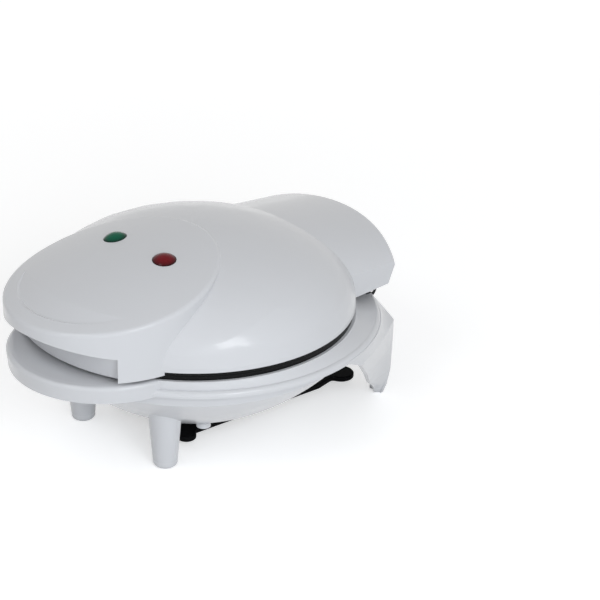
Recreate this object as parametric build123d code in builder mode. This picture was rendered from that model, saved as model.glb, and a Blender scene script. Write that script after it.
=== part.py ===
"""Mini pizza maker: a round, hinged, electrically heated pan on four legs.

Everything is in millimetres. +Z is up, the handle points to -Y, the hinge to +Y.
The origin is on the table, under the middle of the closed appliance.
Most pieces are drawn about the plates' own centre, which lies plate_y behind the origin.
"""
import os
from math import asin, atan2, cos, degrees, radians, sin, sqrt

from build123d import *

os.makedirs("parts", exist_ok=True)

# Overall reach and heights
handle_reach = 148.5
hinge_reach = 147.5
seam_height = 85.0
seam_gap = 0.3
wall = 2.5
play = 0.3

# Cooking plates
plate_radius = 111.0
rim_thickness = 2.8
casting_wall = 3.0
pan_radius = 88.5
pan_floor_radius = 81.0
pan_depth = 15.0
pan_corner = 3.0
dish_radius = 105.0
dish_flat_radius = 80.0
dish_depth = 8.0
plate_screw_y = 89.0
plate_boss_radius = 7.5
plate_boss_drop = 1.0
plate_pocket_radius = 5.5
plate_pocket_depth = 7.0
ear_x = 44.0
ear_y = -105.5
ear_radius = 6.5
ear_neck = 9.0
ear_thickness = 5.3
rear_screw_x = 50.0
rear_screw_y = 102.0

# Lid shell
lid_radius = 112.5
lid_skirt = 3.0
dome_rise = 53.0
crown_top = 145.0
crown_across = 225.0
crown_along = 424.0
crown_back_angle = 5.0
crown_sweep = 40.0
pad_half_width = 69.0
pad_half_length = 74.5
pad_edge_round = 3.0
grip_half_width = 56.0
grip_wall_radius = 124.0
grip_wall_lean = 5.0
grip_arch_height = 110.5
grip_arch_drop = 8.5
grip_rib_pitch = 18.0
grip_rib_thickness = 1.6
grip_rib_height = 14.0
scoop_half_width = 53.7
scoop_half_length = 49.2
scoop_offset = 90.0
scoop_middle_height = 127.6
scoop_lean = 7.0
scoop_draft = 10.0
scoop_depth = 6.0
scoop_top = 161.7
scoop_across = 179.2
scoop_shift = 46.2

# Hinge housing on the lid
housing_half_width = 72.5
housing_arch_half_width = 80.0
housing_front = 40.0
housing_front_rise = 51.3
housing_back_rise = 35.5
housing_tuck = 5.5
housing_tuck_height = 14.0
housing_round = 5.0

# Hinge
hinge_y = 119.0
hinge_height = 77.0
pin_radius = 2.0
pin_play = 0.05
pin_stand_out = 1.5
knuckle_radius = 6.5
hinge_half_width = 59.0
centre_knuckle_half_width = 33.0
knuckle_gap = 0.5
wing_front_half_width = 72.0
wing_back_half_width = 64.0
wing_front = 82.0
wing_back = 110.0
upper_wing_back = 120.0
channel_half_width = 62.0
channel_front = 110.5
channel_floor = 69.0

# Base shell
rim_half_width = 121.5
rim_half_length = 125.9
rim_offset = 10.0
rim_height = 76.0
rim_band = 4.5
rim_round = 3.0
rim_seat_radius = 107.0
bead_radius = 113.0
bead_height = 81.4
flange_middle_half_width = 116.5
flange_middle_half_length = 117.5
flange_middle_offset = 5.0
flange_middle_height = 77.8
bowl_floor_height = 21.0
bowl_floor_radius = 60.0
bowl_middle_radius = 88.0
bowl_middle_height = 40.0
bowl_top_radius = 112.0
bowl_top_height = 63.5
rear_wall_y = 118.0
rear_box_half_width = 38.0
rear_box_front = 84.0
rear_box_bottom = 46.0
ledge_half_width = 68.0
ledge_half_length = 68.5
ledge_offset = 79.2
ledge_height = 82.4
ledge_depth = 12.0
ledge_draft = 1.0
ledge_round = 2.5
ledge_dish_y = 79.2
ledge_dish_radius = 63.0
ledge_dish_depth = 2.5
front_foot_x = 44.0
front_foot_y = 67.5
foot_bottom_radius = 8.3
foot_top_radius = 12.0
foot_top_height = 46.0
foot_round = 3.0
foot_floor = 4.0

# Rear legs, thin sails between the rim and the rear wall
leg_wall = 3.0
leg_top_height = 73.5
leg_shoulder_height = 62.0
leg_waist_height = 40.0
leg_knee_height = 22.0
leg_ankle_height = 8.0
leg_half_width = 83.0
leg_foot_half_width = 77.0
leg_foot_width = 7.0
leg_ridge_half_width = 62.8
leg_front_top = (120.6, 25.0)
leg_front_shoulder = (115.5, 48.0)
leg_front_waist = (99.6, 72.6)
leg_front_knee = (88.0, 90.0)
leg_front_ankle = (77.0, 107.0)
leg_front_foot = (73.0, 112.5)
leg_bulge = 13.1
leg_shoulder_bulge = 2.0
leg_plate_top = 70.5
leg_arch_half_width = 66.0
leg_arch_height = 45.0

# Screws and posts
post_radius = 4.5
screw_radius = 1.5
screw_head_radius = 3.4
screw_head_height = 2.0
screw_bite = 10.0
shield_post_radius = 62.5
shield_post_angle = 37.0
shield_post_back_angle = 3.0
underside_boss_radius = 5.0
underside_boss_height = 24.5
underside_hole_radius = 2.2
underside_hole_depth = 3.5

# Cord wrap plate under the bowl
wrap_height = 5.0
wrap_thickness = 4.0
wrap_front_half_width = 34.0
wrap_wide_half_width = 48.5
wrap_back_half_width = 45.0
wrap_front_y = -39.0
wrap_wide_y = 80.0
wrap_back_y = 106.0
wrap_front_ear_radius = 7.0
wrap_back_ear_radius = 10.0
wrap_edge_round = 1.2
wrap_corner_round = 3.0
wrap_notch_half_width = 26.0
wrap_notch_depth = 16.0
hub_radius = 28.0
hub_screw_radius = 18.0

# Heating and wiring
element_radius = 60.0
element_diameter = 6.4
element_gap_angle = 25.0
element_bend = 10.0
element_end_y = 80.0
terminal_radius = 1.6
terminal_length = 9.0
clip_arc = 9.5
clip_thickness = 1.2
clip_foot = 6.0
clip_first_angle = 200.0
clip_angle_step = 70.0
shield_radius = 74.0
shield_lip = 4.0
shield_thickness = 0.8
shield_drop = 9.0
upper_post_radius = 46.0
thermostat_radius = 8.5
thermostat_height = 9.0
thermostat_flange = 1.0
thermostat_flange_radius = 11.0
fuse_radius = 2.2
fuse_length = 14.0
fuse_x = 22.0
block_x = 20.0
block_y = 100.0
block_length = 24.0
block_width = 12.0
block_height = 9.0
block_screw_radius = 2.0
wire_radius = 1.2

# Indicator lights
lens_x = 25.0
lens_y = -50.0
lens_radius = 8.0
lens_stem_radius = 6.0
lens_rise = 3.2
lens_flange = 0.8
lens_stem_length = 6.0
lens_sleeve_wall = 2.0
lens_sleeve_length = 18.0
lamp_radius = 3.0
lamp_length = 8.0
plug_length = 4.0

# Cord entry
gland_x = -18.0
gland_y = 103.0
gland_bore_radius = 3.6
gland_body_radius = 6.0
gland_flange_radius = 9.0
gland_flange = 2.0
gland_length = 12.0

# Derived places
plate_y = (handle_reach - hinge_reach) / 2
lower_face = seam_height - seam_gap / 2
upper_face = seam_height + seam_gap / 2
rim_seat = lower_face - rim_thickness
lid_edge = upper_face + rim_thickness
pan_floor = lower_face - pan_depth
pan_underside = pan_floor - casting_wall
dish_roof = upper_face + dish_depth
dish_top = dish_roof + casting_wall
pad_offset = handle_reach - pad_half_length
plate_boss_bottom = pan_underside - plate_boss_drop
plate_pocket_floor = lower_face - plate_pocket_depth
ear_top = upper_face + ear_thickness
ear_pocket = screw_head_height + play
ledge_bottom = ledge_height - ledge_depth
wrap_top = wrap_height + wrap_thickness
element_thickness = element_diameter / 2
lower_element_height = pan_underside - element_thickness
upper_element_height = dish_top + element_thickness
lower_shield_height = lower_element_height - shield_drop
upper_shield_height = upper_element_height + shield_drop
channel_underside = channel_floor - wall
upper_wing_front_half = wing_front_half_width - wall - play
upper_wing_back_half = wing_back_half_width - wall - play
shield_post_angles = (
    -shield_post_angle,
    -shield_post_back_angle,
    180 + shield_post_back_angle,
    180 + shield_post_angle,
)
shield_post_places = [
    (shield_post_radius * cos(radians(turn)), shield_post_radius * sin(radians(turn)))
    for turn in shield_post_angles
]
front_post_places = (shield_post_places[0], shield_post_places[-1])
upper_screw_places = (
    (-ear_x, ear_y),
    (ear_x, ear_y),
    (-rear_screw_x, rear_screw_y),
    (rear_screw_x, rear_screw_y),
)
plate_screw_places = ((0, -plate_screw_y), (0, plate_screw_y))
spin = Axis((0, plate_y, 0), (0, 0, 1))


def level(height, x=0.0, y=0.0):
    """Level plane at a height, its origin x and y away from the plates' centre."""
    return Plane(origin=(x, plate_y + y, height))


def upright(y=0.0, x=0.0):
    """Upright plane seen from the front: local x runs right and local y is the height."""
    return Plane(origin=(x, plate_y + y, 0), x_dir=(1, 0, 0), z_dir=(0, -1, 0))


def sideways(x):
    """Upright plane seen from the right: local x runs to the rear and local y is the height."""
    return Plane(origin=(x, plate_y, 0), x_dir=(0, 1, 0), z_dir=(1, 0, 0))


def radial(angle):
    """Upright plane through the plates' centre: local x is the radius, local y the height."""
    turn = radians(angle)
    return Plane(
        origin=(0, plate_y, 0),
        x_dir=(cos(turn), sin(turn), 0),
        z_dir=(sin(turn), -cos(turn), 0),
    )


def on_crown(x, y, depth):
    """Plane square to the pad's crown above x, y, sunk below its surface by a depth."""
    lean = asin(x / crown_across)
    reach = crown_along - crown_across * (1 - cos(lean))
    swing = asin(-y / reach)
    normal = Vector(sin(lean), -cos(lean) * sin(swing), cos(lean) * cos(swing))
    point = Vector(x, plate_y + y, crown_top - crown_along + reach * cos(swing))
    return Plane(origin=point - normal * depth, x_dir=(0, 1, 0), z_dir=normal)


def save(part, name):
    """Label a finished piece and write its STEP file."""
    part.label = name
    export_step(part, f"parts/{name}.step")


def round_form(*profile):
    """Solid turned about the plates' centre from a closed profile of radius and height."""
    with BuildPart() as form:
        with BuildSketch(upright()):
            with BuildLine():
                Polyline(*profile, close=True)
            make_face()
        revolve(axis=spin)
    return form.part


# Lid forms
def dome_form(inset, below):
    """Half ellipsoid on a short skirt, inset from the skin and carried down below its edge."""
    radius = lid_radius - inset
    rise = dome_rise - inset
    spring = lid_edge + lid_skirt
    arch = [(radius * cos(radians(t)), spring + rise * sin(radians(t))) for t in range(0, 91, 15)]
    with BuildPart() as form:
        with BuildSketch(upright()):
            with BuildLine():
                Spline(*arch, tangents=((0, 1), (-1, 0)), tangent_scalars=(1, 1))
                Polyline(
                    (0, spring + rise),
                    (0, lid_edge - below),
                    (radius, lid_edge - below),
                    (radius, spring),
                )
            make_face()
        revolve(axis=spin)
    return form.part


def cap_form(top, across, along, shift):
    """Solid under a doubly curved cap: one radius across it and another from front to back."""
    half = housing_arch_half_width
    fall = along - across + sqrt(across**2 - half**2)
    turn = radians(crown_back_angle)
    centre = (0, plate_y + shift, top - along)
    with BuildPart() as form:
        with BuildSketch(Plane(origin=centre, x_dir=(1, 0, 0), z_dir=(0, -cos(turn), sin(turn)))):
            with BuildLine():
                ThreePointArc((-half, fall), (0, along), (half, fall))
                Polyline((-half, fall), (-half, along / 2), (half, along / 2), (half, fall))
            make_face()
        revolve(axis=Axis(centre, (1, 0, 0)), revolution_arc=crown_sweep)
    return form.part


def handle_form(inset, edge_round):
    """Upright oval block under the crowned pad, with the pad's edge rounded over."""
    with BuildPart() as form:
        with BuildSketch(level(upper_face - inset, 0, -pad_offset)):
            Ellipse(pad_half_width - inset, pad_half_length - inset)
        extrude(amount=crown_top)
        add(
            cap_form(crown_top - inset, crown_across - inset, crown_along - inset, 0),
            mode=Mode.INTERSECT,
        )
        crown = form.faces().sort_by(Axis.Z)[-1]
        fillet(crown.edges(), edge_round)
    return form.part


def housing_form(inset, edge_round):
    """Arched hinge housing with a round back that leans in at the bottom."""
    half = housing_half_width - inset
    arch_half = housing_arch_half_width - inset
    back = hinge_reach - inset
    angle = degrees(atan2(sqrt(1 - (half / arch_half) ** 2), half / arch_half))
    foot = upper_face - inset
    with BuildPart() as form:
        for y, rise in ((housing_front, housing_front_rise), (hinge_reach, housing_back_rise)):
            shoulder = seam_height + (rise - inset) * sin(radians(angle))
            with BuildSketch(upright(y)):
                with BuildLine():
                    EllipticalCenterArc(
                        (0, seam_height),
                        arch_half,
                        rise - inset,
                        angle,
                        arc_size=180 - 2 * angle,
                    )
                    Polyline((-half, shoulder), (-half, foot), (half, foot), (half, shoulder))
                make_face()
        loft(ruled=True)
        add(
            round_form(
                (0, 0),
                (back - 2 * housing_tuck, 0),
                (back - housing_tuck, seam_height),
                (back, seam_height + housing_tuck_height),
                (back, crown_top),
                (0, crown_top),
            ),
            mode=Mode.INTERSECT,
        )
        back_arch = form.edges().filter_by(lambda edge: edge.center().Z > lid_edge + housing_tuck_height)
        back_arch = back_arch.filter_by(lambda edge: edge.center().Y > housing_front + pad_offset)
        fillet(back_arch.sort_by(SortBy.LENGTH)[-2:], edge_round)
    return form.part


def recess_form(grow):
    """Finger recess under the handle's lip, grown on every side by a wall."""
    half = grip_half_width + grow
    spring = grip_arch_height - grip_arch_drop + grow
    foot = grip_wall_radius - grow
    rise = grip_arch_height - seam_height
    with BuildPart() as form:
        with BuildSketch(upright(-pad_half_length)):
            with BuildLine():
                Polyline((-half, spring), (-half, rise), (half, rise), (half, spring))
                ThreePointArc((half, spring), (0, grip_arch_height + grow), (-half, spring))
            make_face()
        extrude(amount=handle_reach)
        add(
            round_form(
                (0, seam_height - 2 * rise),
                (foot - 2 * grip_wall_lean, seam_height - 2 * rise),
                (foot + 2 * grip_wall_lean, seam_height + 2 * rise),
                (0, seam_height + 2 * rise),
            ),
            mode=Mode.SUBTRACT,
        )
    return form.part


def scoop_form(grow):
    """Crescent hollow with a sloping edge in the front of the pad, grown by a wall."""
    lean = radians(scoop_lean)
    centre = (0, plate_y - scoop_offset, scoop_middle_height - grow)
    rim = Plane(origin=centre, x_dir=(1, 0, 0), z_dir=(0, -sin(lean), cos(lean)))
    with BuildPart() as form:
        with BuildSketch(rim):
            Ellipse(scoop_half_width + grow, scoop_half_length + grow)
        with BuildSketch(rim.offset(-scoop_depth)):
            Ellipse(
                scoop_half_width + grow - scoop_draft,
                scoop_half_length + grow - scoop_draft,
            )
        loft(ruled=True)
        with BuildSketch(rim):
            Ellipse(scoop_half_width + grow, scoop_half_length + grow)
        extrude(amount=crown_top - seam_height)
        add(
            cap_form(scoop_top - grow, scoop_across - grow, crown_along - grow, scoop_shift),
            mode=Mode.SUBTRACT,
        )
    return form.part


# Lid shell
lens_seats = [on_crown(side * lens_x, lens_y, 0) for side in (-1, 1)]
lid_hollow = dome_form(wall, rim_thickness)
handle_hollow = handle_form(wall, pad_edge_round - wall + play)
housing_hollow = housing_form(wall, housing_round - wall)

with BuildPart() as lid_inside:
    add(lid_hollow)
    add(handle_hollow)
    add(housing_hollow)
    add(recess_form(wall), mode=Mode.SUBTRACT)
    add(scoop_form(wall), mode=Mode.SUBTRACT)

with BuildPart() as grip_ribs:
    with BuildSketch(level(upper_face)):
        Circle(grip_wall_radius)
        Circle(plate_radius + grip_rib_thickness, mode=Mode.SUBTRACT)
        with Locations((0, -grip_wall_radius)):
            Rectangle(
                4 * grip_rib_pitch + grip_rib_thickness,
                grip_wall_radius,
                mode=Mode.INTERSECT,
            )
    extrude(amount=grip_rib_height)
    with BuildSketch(level(upper_face, 0, -grip_wall_radius)):
        with GridLocations(grip_rib_pitch, 0, 4, 1):
            Rectangle(grip_rib_pitch - grip_rib_thickness, grip_wall_radius)
    extrude(amount=grip_rib_height, mode=Mode.SUBTRACT)
    with BuildSketch(level(upper_face)):
        Circle(plate_radius + 2 * grip_rib_thickness)
        Circle(plate_radius + grip_rib_thickness, mode=Mode.SUBTRACT)
        with Locations((0, -grip_wall_radius)):
            Rectangle(
                4 * grip_rib_pitch + grip_rib_thickness,
                grip_wall_radius,
                mode=Mode.INTERSECT,
            )
    extrude(amount=grip_rib_height)

with BuildPart() as lid_bosses:
    with BuildSketch(level(ear_top)):
        with Locations(*upper_screw_places):
            Circle(post_radius)
    extrude(amount=crown_top)
    add(lid_inside.part, mode=Mode.INTERSECT)

with BuildPart() as lens_sleeves:
    with BuildSketch(*[seat.offset(-wall / 2) for seat in lens_seats]):
        Circle(lens_stem_radius + lens_sleeve_wall)
    extrude(amount=wall / 2 - lens_sleeve_length)

with BuildPart() as lid_shell:
    add(dome_form(0, 0))
    add(handle_form(0, pad_edge_round))
    add(housing_form(0, housing_round))
    add(recess_form(0), mode=Mode.SUBTRACT)
    with BuildSketch(level(upper_face)):
        Circle(plate_radius + play)
    extrude(amount=rim_thickness, mode=Mode.SUBTRACT)
    add(scoop_form(0), mode=Mode.SUBTRACT)
    add(lid_inside.part, mode=Mode.SUBTRACT)
    add(grip_ribs.part)
    add(lid_bosses.part)
    with BuildSketch(level(ear_top)):
        with Locations(*upper_screw_places):
            Circle(screw_radius)
    extrude(amount=screw_bite, mode=Mode.SUBTRACT)
    add(lens_sleeves.part)
    with BuildSketch(*lens_seats):
        Circle(lens_stem_radius + play / 2)
    extrude(amount=-lens_sleeve_length, mode=Mode.SUBTRACT)
    with BuildSketch(*[seat.offset(-lens_flange) for seat in lens_seats]):
        Circle(lens_radius + play / 2)
    extrude(amount=lens_flange + lens_rise, mode=Mode.SUBTRACT)

save(lid_shell.part, "lid_shell")

# Upper cooking plate
with BuildPart() as upper_plate:
    with BuildSketch(upright()):
        with BuildLine():
            Line((0, dish_top), (dish_flat_radius, dish_top))
            crest = TangentArc(
                (dish_flat_radius, dish_top),
                (dish_radius + casting_wall / 2, lid_edge),
                tangent=(1, 0),
            )
            Polyline(
                crest @ 1,
                (plate_radius, lid_edge),
                (plate_radius, upper_face),
                (0, upper_face),
                (0, dish_top),
            )
        make_face()
    revolve(axis=spin)
    with BuildSketch(level(upper_face)):
        Polygon(
            (-upper_wing_front_half, wing_front),
            (upper_wing_front_half, wing_front),
            (upper_wing_back_half, upper_wing_back),
            (-upper_wing_back_half, upper_wing_back),
            align=None,
        )
    extrude(amount=rim_thickness)
    with BuildSketch(level(upper_face)):
        with Locations(*upper_screw_places):
            Circle(ear_radius)
        with Locations((-ear_x, ear_y + ear_neck / 2), (ear_x, ear_y + ear_neck / 2)):
            Rectangle(2 * ear_radius, ear_neck)
    extrude(amount=ear_thickness)
    with BuildSketch(upright()):
        with BuildLine():
            Line((0, dish_roof), (dish_flat_radius, dish_roof))
            TangentArc((dish_flat_radius, dish_roof), (dish_radius, upper_face), tangent=(1, 0))
            Polyline((dish_radius, upper_face), (0, upper_face), (0, dish_roof))
        make_face()
    revolve(axis=spin, mode=Mode.SUBTRACT)
    for knuckle_start in (-hinge_half_width, centre_knuckle_half_width + knuckle_gap):
        with BuildSketch(sideways(knuckle_start)):
            with Locations((hinge_y, hinge_height)):
                Circle(knuckle_radius)
            Polygon(
                (hinge_y - knuckle_radius, hinge_height),
                (hinge_y - knuckle_radius, upper_face + play),
                (upper_wing_back, upper_face + play),
                (hinge_y + knuckle_radius, hinge_height),
                align=None,
            )
        extrude(amount=hinge_half_width - centre_knuckle_half_width - knuckle_gap)
    with BuildSketch(sideways(-hinge_half_width)):
        with Locations((hinge_y, hinge_height)):
            Circle(pin_radius + pin_play)
    extrude(amount=2 * hinge_half_width, mode=Mode.SUBTRACT)
    with BuildSketch(level(upper_face)):
        with Locations(*upper_screw_places):
            Circle(screw_head_radius + play)
    extrude(amount=ear_pocket, mode=Mode.SUBTRACT)
    with BuildSketch(level(upper_face)):
        with Locations(*upper_screw_places):
            Circle(screw_radius)
    extrude(amount=ear_thickness, mode=Mode.SUBTRACT)
    with BuildSketch(level(dish_top)):
        with PolarLocations(upper_post_radius, 4, 45):
            Circle(post_radius)
            Circle(screw_radius, mode=Mode.SUBTRACT)
    extrude(amount=upper_shield_height - dish_top)

save(upper_plate.part, "upper_plate")

with BuildPart() as upper_plate_screws:
    with BuildSketch(level(upper_face + ear_pocket)):
        with Locations(*upper_screw_places):
            Circle(screw_head_radius)
    extrude(amount=-screw_head_height)
    with BuildSketch(level(upper_face + ear_pocket)):
        with Locations(*upper_screw_places):
            Circle(screw_radius)
    extrude(amount=ear_thickness - ear_pocket + screw_bite)

save(upper_plate_screws.part, "upper_plate_screws")

# Lower cooking plate
with BuildPart() as lower_plate:
    add(
        round_form(
            (0, pan_underside),
            (pan_floor_radius + casting_wall / 2, pan_underside),
            (pan_radius + casting_wall, rim_seat),
            (plate_radius, rim_seat),
            (plate_radius, lower_face),
            (0, lower_face),
        )
    )
    with BuildSketch(level(rim_seat)):
        Polygon(
            (-wing_front_half_width, wing_front),
            (wing_front_half_width, wing_front),
            (wing_back_half_width, wing_back),
            (-wing_back_half_width, wing_back),
            align=None,
        )
    extrude(amount=rim_thickness)
    with BuildSketch(level(plate_boss_bottom)):
        with Locations(*plate_screw_places):
            Circle(plate_boss_radius)
    extrude(amount=lower_face - plate_boss_bottom)
    with BuildSketch(upright()):
        with BuildLine():
            bowl = FilletPolyline(
                (0, pan_floor),
                (pan_floor_radius, pan_floor),
                (pan_radius, lower_face),
                radius=pan_corner,
            )
            Polyline(bowl @ 1, (0, lower_face), (0, pan_floor))
        make_face()
    revolve(axis=spin, mode=Mode.SUBTRACT)
    with BuildSketch(level(lower_face)):
        with Locations(*plate_screw_places):
            Circle(plate_pocket_radius)
    extrude(amount=-plate_pocket_depth, mode=Mode.SUBTRACT)
    with BuildSketch(level(lower_face)):
        with Locations(*plate_screw_places):
            Circle(screw_radius)
    extrude(amount=plate_boss_bottom - lower_face, mode=Mode.SUBTRACT)
    with BuildSketch(sideways(-centre_knuckle_half_width)):
        with Locations((hinge_y, hinge_height)):
            Circle(knuckle_radius)
        Polygon(
            (rim_seat_radius - casting_wall, rim_seat),
            (rim_seat_radius - casting_wall, lower_face),
            (hinge_y - 2 * pin_radius, lower_face),
            (hinge_y, hinge_height + knuckle_radius),
            (hinge_y, hinge_height),
            (hinge_y - knuckle_radius, hinge_height),
            (channel_front + knuckle_gap, rim_seat),
            align=None,
        )
    extrude(amount=2 * centre_knuckle_half_width)
    with BuildSketch(sideways(-hinge_half_width)):
        with Locations((hinge_y, hinge_height)):
            Circle(pin_radius + pin_play)
    extrude(amount=2 * hinge_half_width, mode=Mode.SUBTRACT)

save(lower_plate.part, "lower_plate")

with BuildPart() as lower_plate_screws:
    with BuildSketch(level(plate_pocket_floor)):
        with Locations(*plate_screw_places):
            Circle(screw_head_radius)
    extrude(amount=screw_head_height)
    with BuildSketch(level(plate_pocket_floor)):
        with Locations(*plate_screw_places):
            Circle(screw_radius)
    extrude(amount=plate_boss_bottom - plate_pocket_floor - screw_bite)

save(lower_plate_screws.part, "lower_plate_screws")

with BuildPart() as hinge_pin:
    with BuildSketch(sideways(-hinge_half_width - pin_stand_out)):
        with Locations((hinge_y, hinge_height)):
            Circle(pin_radius)
    extrude(amount=2 * (hinge_half_width + pin_stand_out))

save(hinge_pin.part, "hinge_pin")


# Base shell
def flange_form(inset, edge_round):
    """Hollow skirt that falls from the plate's edge to the rounded oval rim."""
    width = rim_half_width - inset
    length = rim_half_length - inset
    with BuildPart() as form:
        with BuildSketch(level(rim_height - inset, 0, rim_offset)):
            Ellipse(width, length)
        extrude(amount=-rim_band)
        fillet(form.edges().group_by(Axis.Z)[-1], edge_round)
        with BuildSketch(level(bead_height - inset)):
            Circle(bead_radius - inset)
        with BuildSketch(level(flange_middle_height - inset, 0, flange_middle_offset)):
            Ellipse(flange_middle_half_width - inset, flange_middle_half_length - inset)
        with BuildSketch(level(rim_height - inset, 0, rim_offset)):
            Ellipse(width - edge_round - play, length - edge_round - play)
        loft()
    return form.part


def ledge_form(inset):
    """Oval step under the handle, drawn in a little towards its lower edge."""
    with BuildPart() as form:
        with BuildSketch(level(ledge_height - inset, 0, -ledge_offset)):
            Ellipse(ledge_half_width - inset, ledge_half_length - inset)
        with BuildSketch(level(ledge_bottom, 0, -ledge_offset)):
            Ellipse(
                ledge_half_width - inset - ledge_draft,
                ledge_half_length - inset - ledge_draft,
            )
        loft(ruled=True)
    return form.part


def bowl_form(inset, top):
    """Round bowl between the legs with a flat floor."""
    with BuildPart() as form:
        with BuildSketch(upright()):
            with BuildLine():
                side = ThreePointArc(
                    (bowl_floor_radius - inset, bowl_floor_height + inset),
                    (bowl_middle_radius - inset, bowl_middle_height + inset),
                    (bowl_top_radius - inset, bowl_top_height + inset),
                )
                Polyline(
                    side @ 1,
                    (bowl_top_radius - inset, top),
                    (0, top),
                    (0, bowl_floor_height + inset),
                    side @ 0,
                )
            make_face()
        revolve(axis=spin)
    return form.part


def leg_section(height, front, back, bulge):
    """Level slice of the right leg from its front edge to the rear wall, bulging outwards."""
    start = Vector(*front)
    end = Vector(back, rear_wall_y)
    along = (end - start).normalized()
    outward = Vector(-along.Y, along.X) * -1
    middle = (start + end) / 2 + outward * bulge
    inner_end = Vector(back - leg_wall, rear_wall_y)
    inner_start = start - outward * leg_wall
    inner_middle = middle - outward * leg_wall
    with BuildSketch(level(height)) as section:
        with BuildLine():
            ThreePointArc(start, middle, end)
            Line(end, inner_end)
            ThreePointArc(inner_end, inner_middle, inner_start)
            Line(inner_start, start)
        make_face()
    return section.sketch


right_leg_slices = [
    leg_section(leg_top_height, leg_front_top, leg_ridge_half_width, leg_bulge),
    leg_section(leg_shoulder_height, leg_front_shoulder, leg_half_width, leg_shoulder_bulge),
    leg_section(leg_waist_height, leg_front_waist, leg_half_width, play),
    leg_section(leg_knee_height, leg_front_knee, leg_half_width - play, play),
    leg_section(leg_ankle_height, leg_front_ankle, leg_half_width - leg_wall, play),
    leg_section(0, leg_front_foot, leg_foot_half_width, play),
]
right_leg = loft(right_leg_slices, ruled=True)

front_feet_places = ((-front_foot_x, -front_foot_y), (front_foot_x, -front_foot_y))


def feet_form(inset, bottom):
    """Pair of tapered front feet."""
    with BuildPart() as form:
        for x, y in front_feet_places:
            with BuildSketch(level(bottom, x, y)):
                Circle(foot_bottom_radius - inset)
            with BuildSketch(level(foot_top_height, x, y)):
                Circle(foot_top_radius - inset)
            loft()
    return form.part


with BuildPart() as solid_feet:
    add(feet_form(0, 0))
    fillet(solid_feet.edges().group_by(Axis.Z)[0], foot_round)

ledge_dish_sphere = (ledge_dish_radius**2 + ledge_dish_depth**2) / (2 * ledge_dish_depth)
with BuildPart() as ledge:
    add(ledge_form(0))
    fillet(ledge.edges().group_by(Axis.Z)[-1], ledge_round)
    with Locations((0, plate_y - ledge_dish_y, ledge_height - ledge_dish_depth + ledge_dish_sphere)):
        Sphere(ledge_dish_sphere, mode=Mode.SUBTRACT)
    add(Pos(0, 0, -ledge_dish_depth) * ledge_form(wall), mode=Mode.SUBTRACT)
    with BuildSketch(level(rim_seat)):
        Circle(bead_radius)
    extrude(amount=rim_thickness, mode=Mode.SUBTRACT)

with BuildPart() as plate_posts:
    with BuildSketch(level(bowl_floor_height)):
        with Locations(*plate_screw_places):
            Circle(plate_boss_radius)
    extrude(amount=plate_boss_bottom - bowl_floor_height)
    add(bowl_form(0, rim_seat), mode=Mode.INTERSECT)

with BuildPart() as base_inside:
    add(bowl_form(wall, seam_height))
    add(
        round_form(
            (rim_seat_radius, bowl_top_height),
            (bowl_top_radius, bowl_top_height),
            (bowl_top_radius, rim_seat - wall),
            (rim_seat_radius, rim_seat),
        ),
        mode=Mode.SUBTRACT,
    )
    with BuildSketch(level(bowl_top_height + wall)):
        Circle(rim_seat_radius)
    extrude(amount=seam_height)
    with BuildSketch(level(rear_box_bottom + wall)):
        with Locations((0, (rear_box_front + rear_wall_y) / 2)):
            Rectangle(
                2 * (rear_box_half_width - wall),
                rear_wall_y - rear_box_front - 2 * wall,
            )
    extrude(amount=channel_underside - rear_box_bottom - wall)
    add(feet_form(wall, foot_floor))

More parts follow.
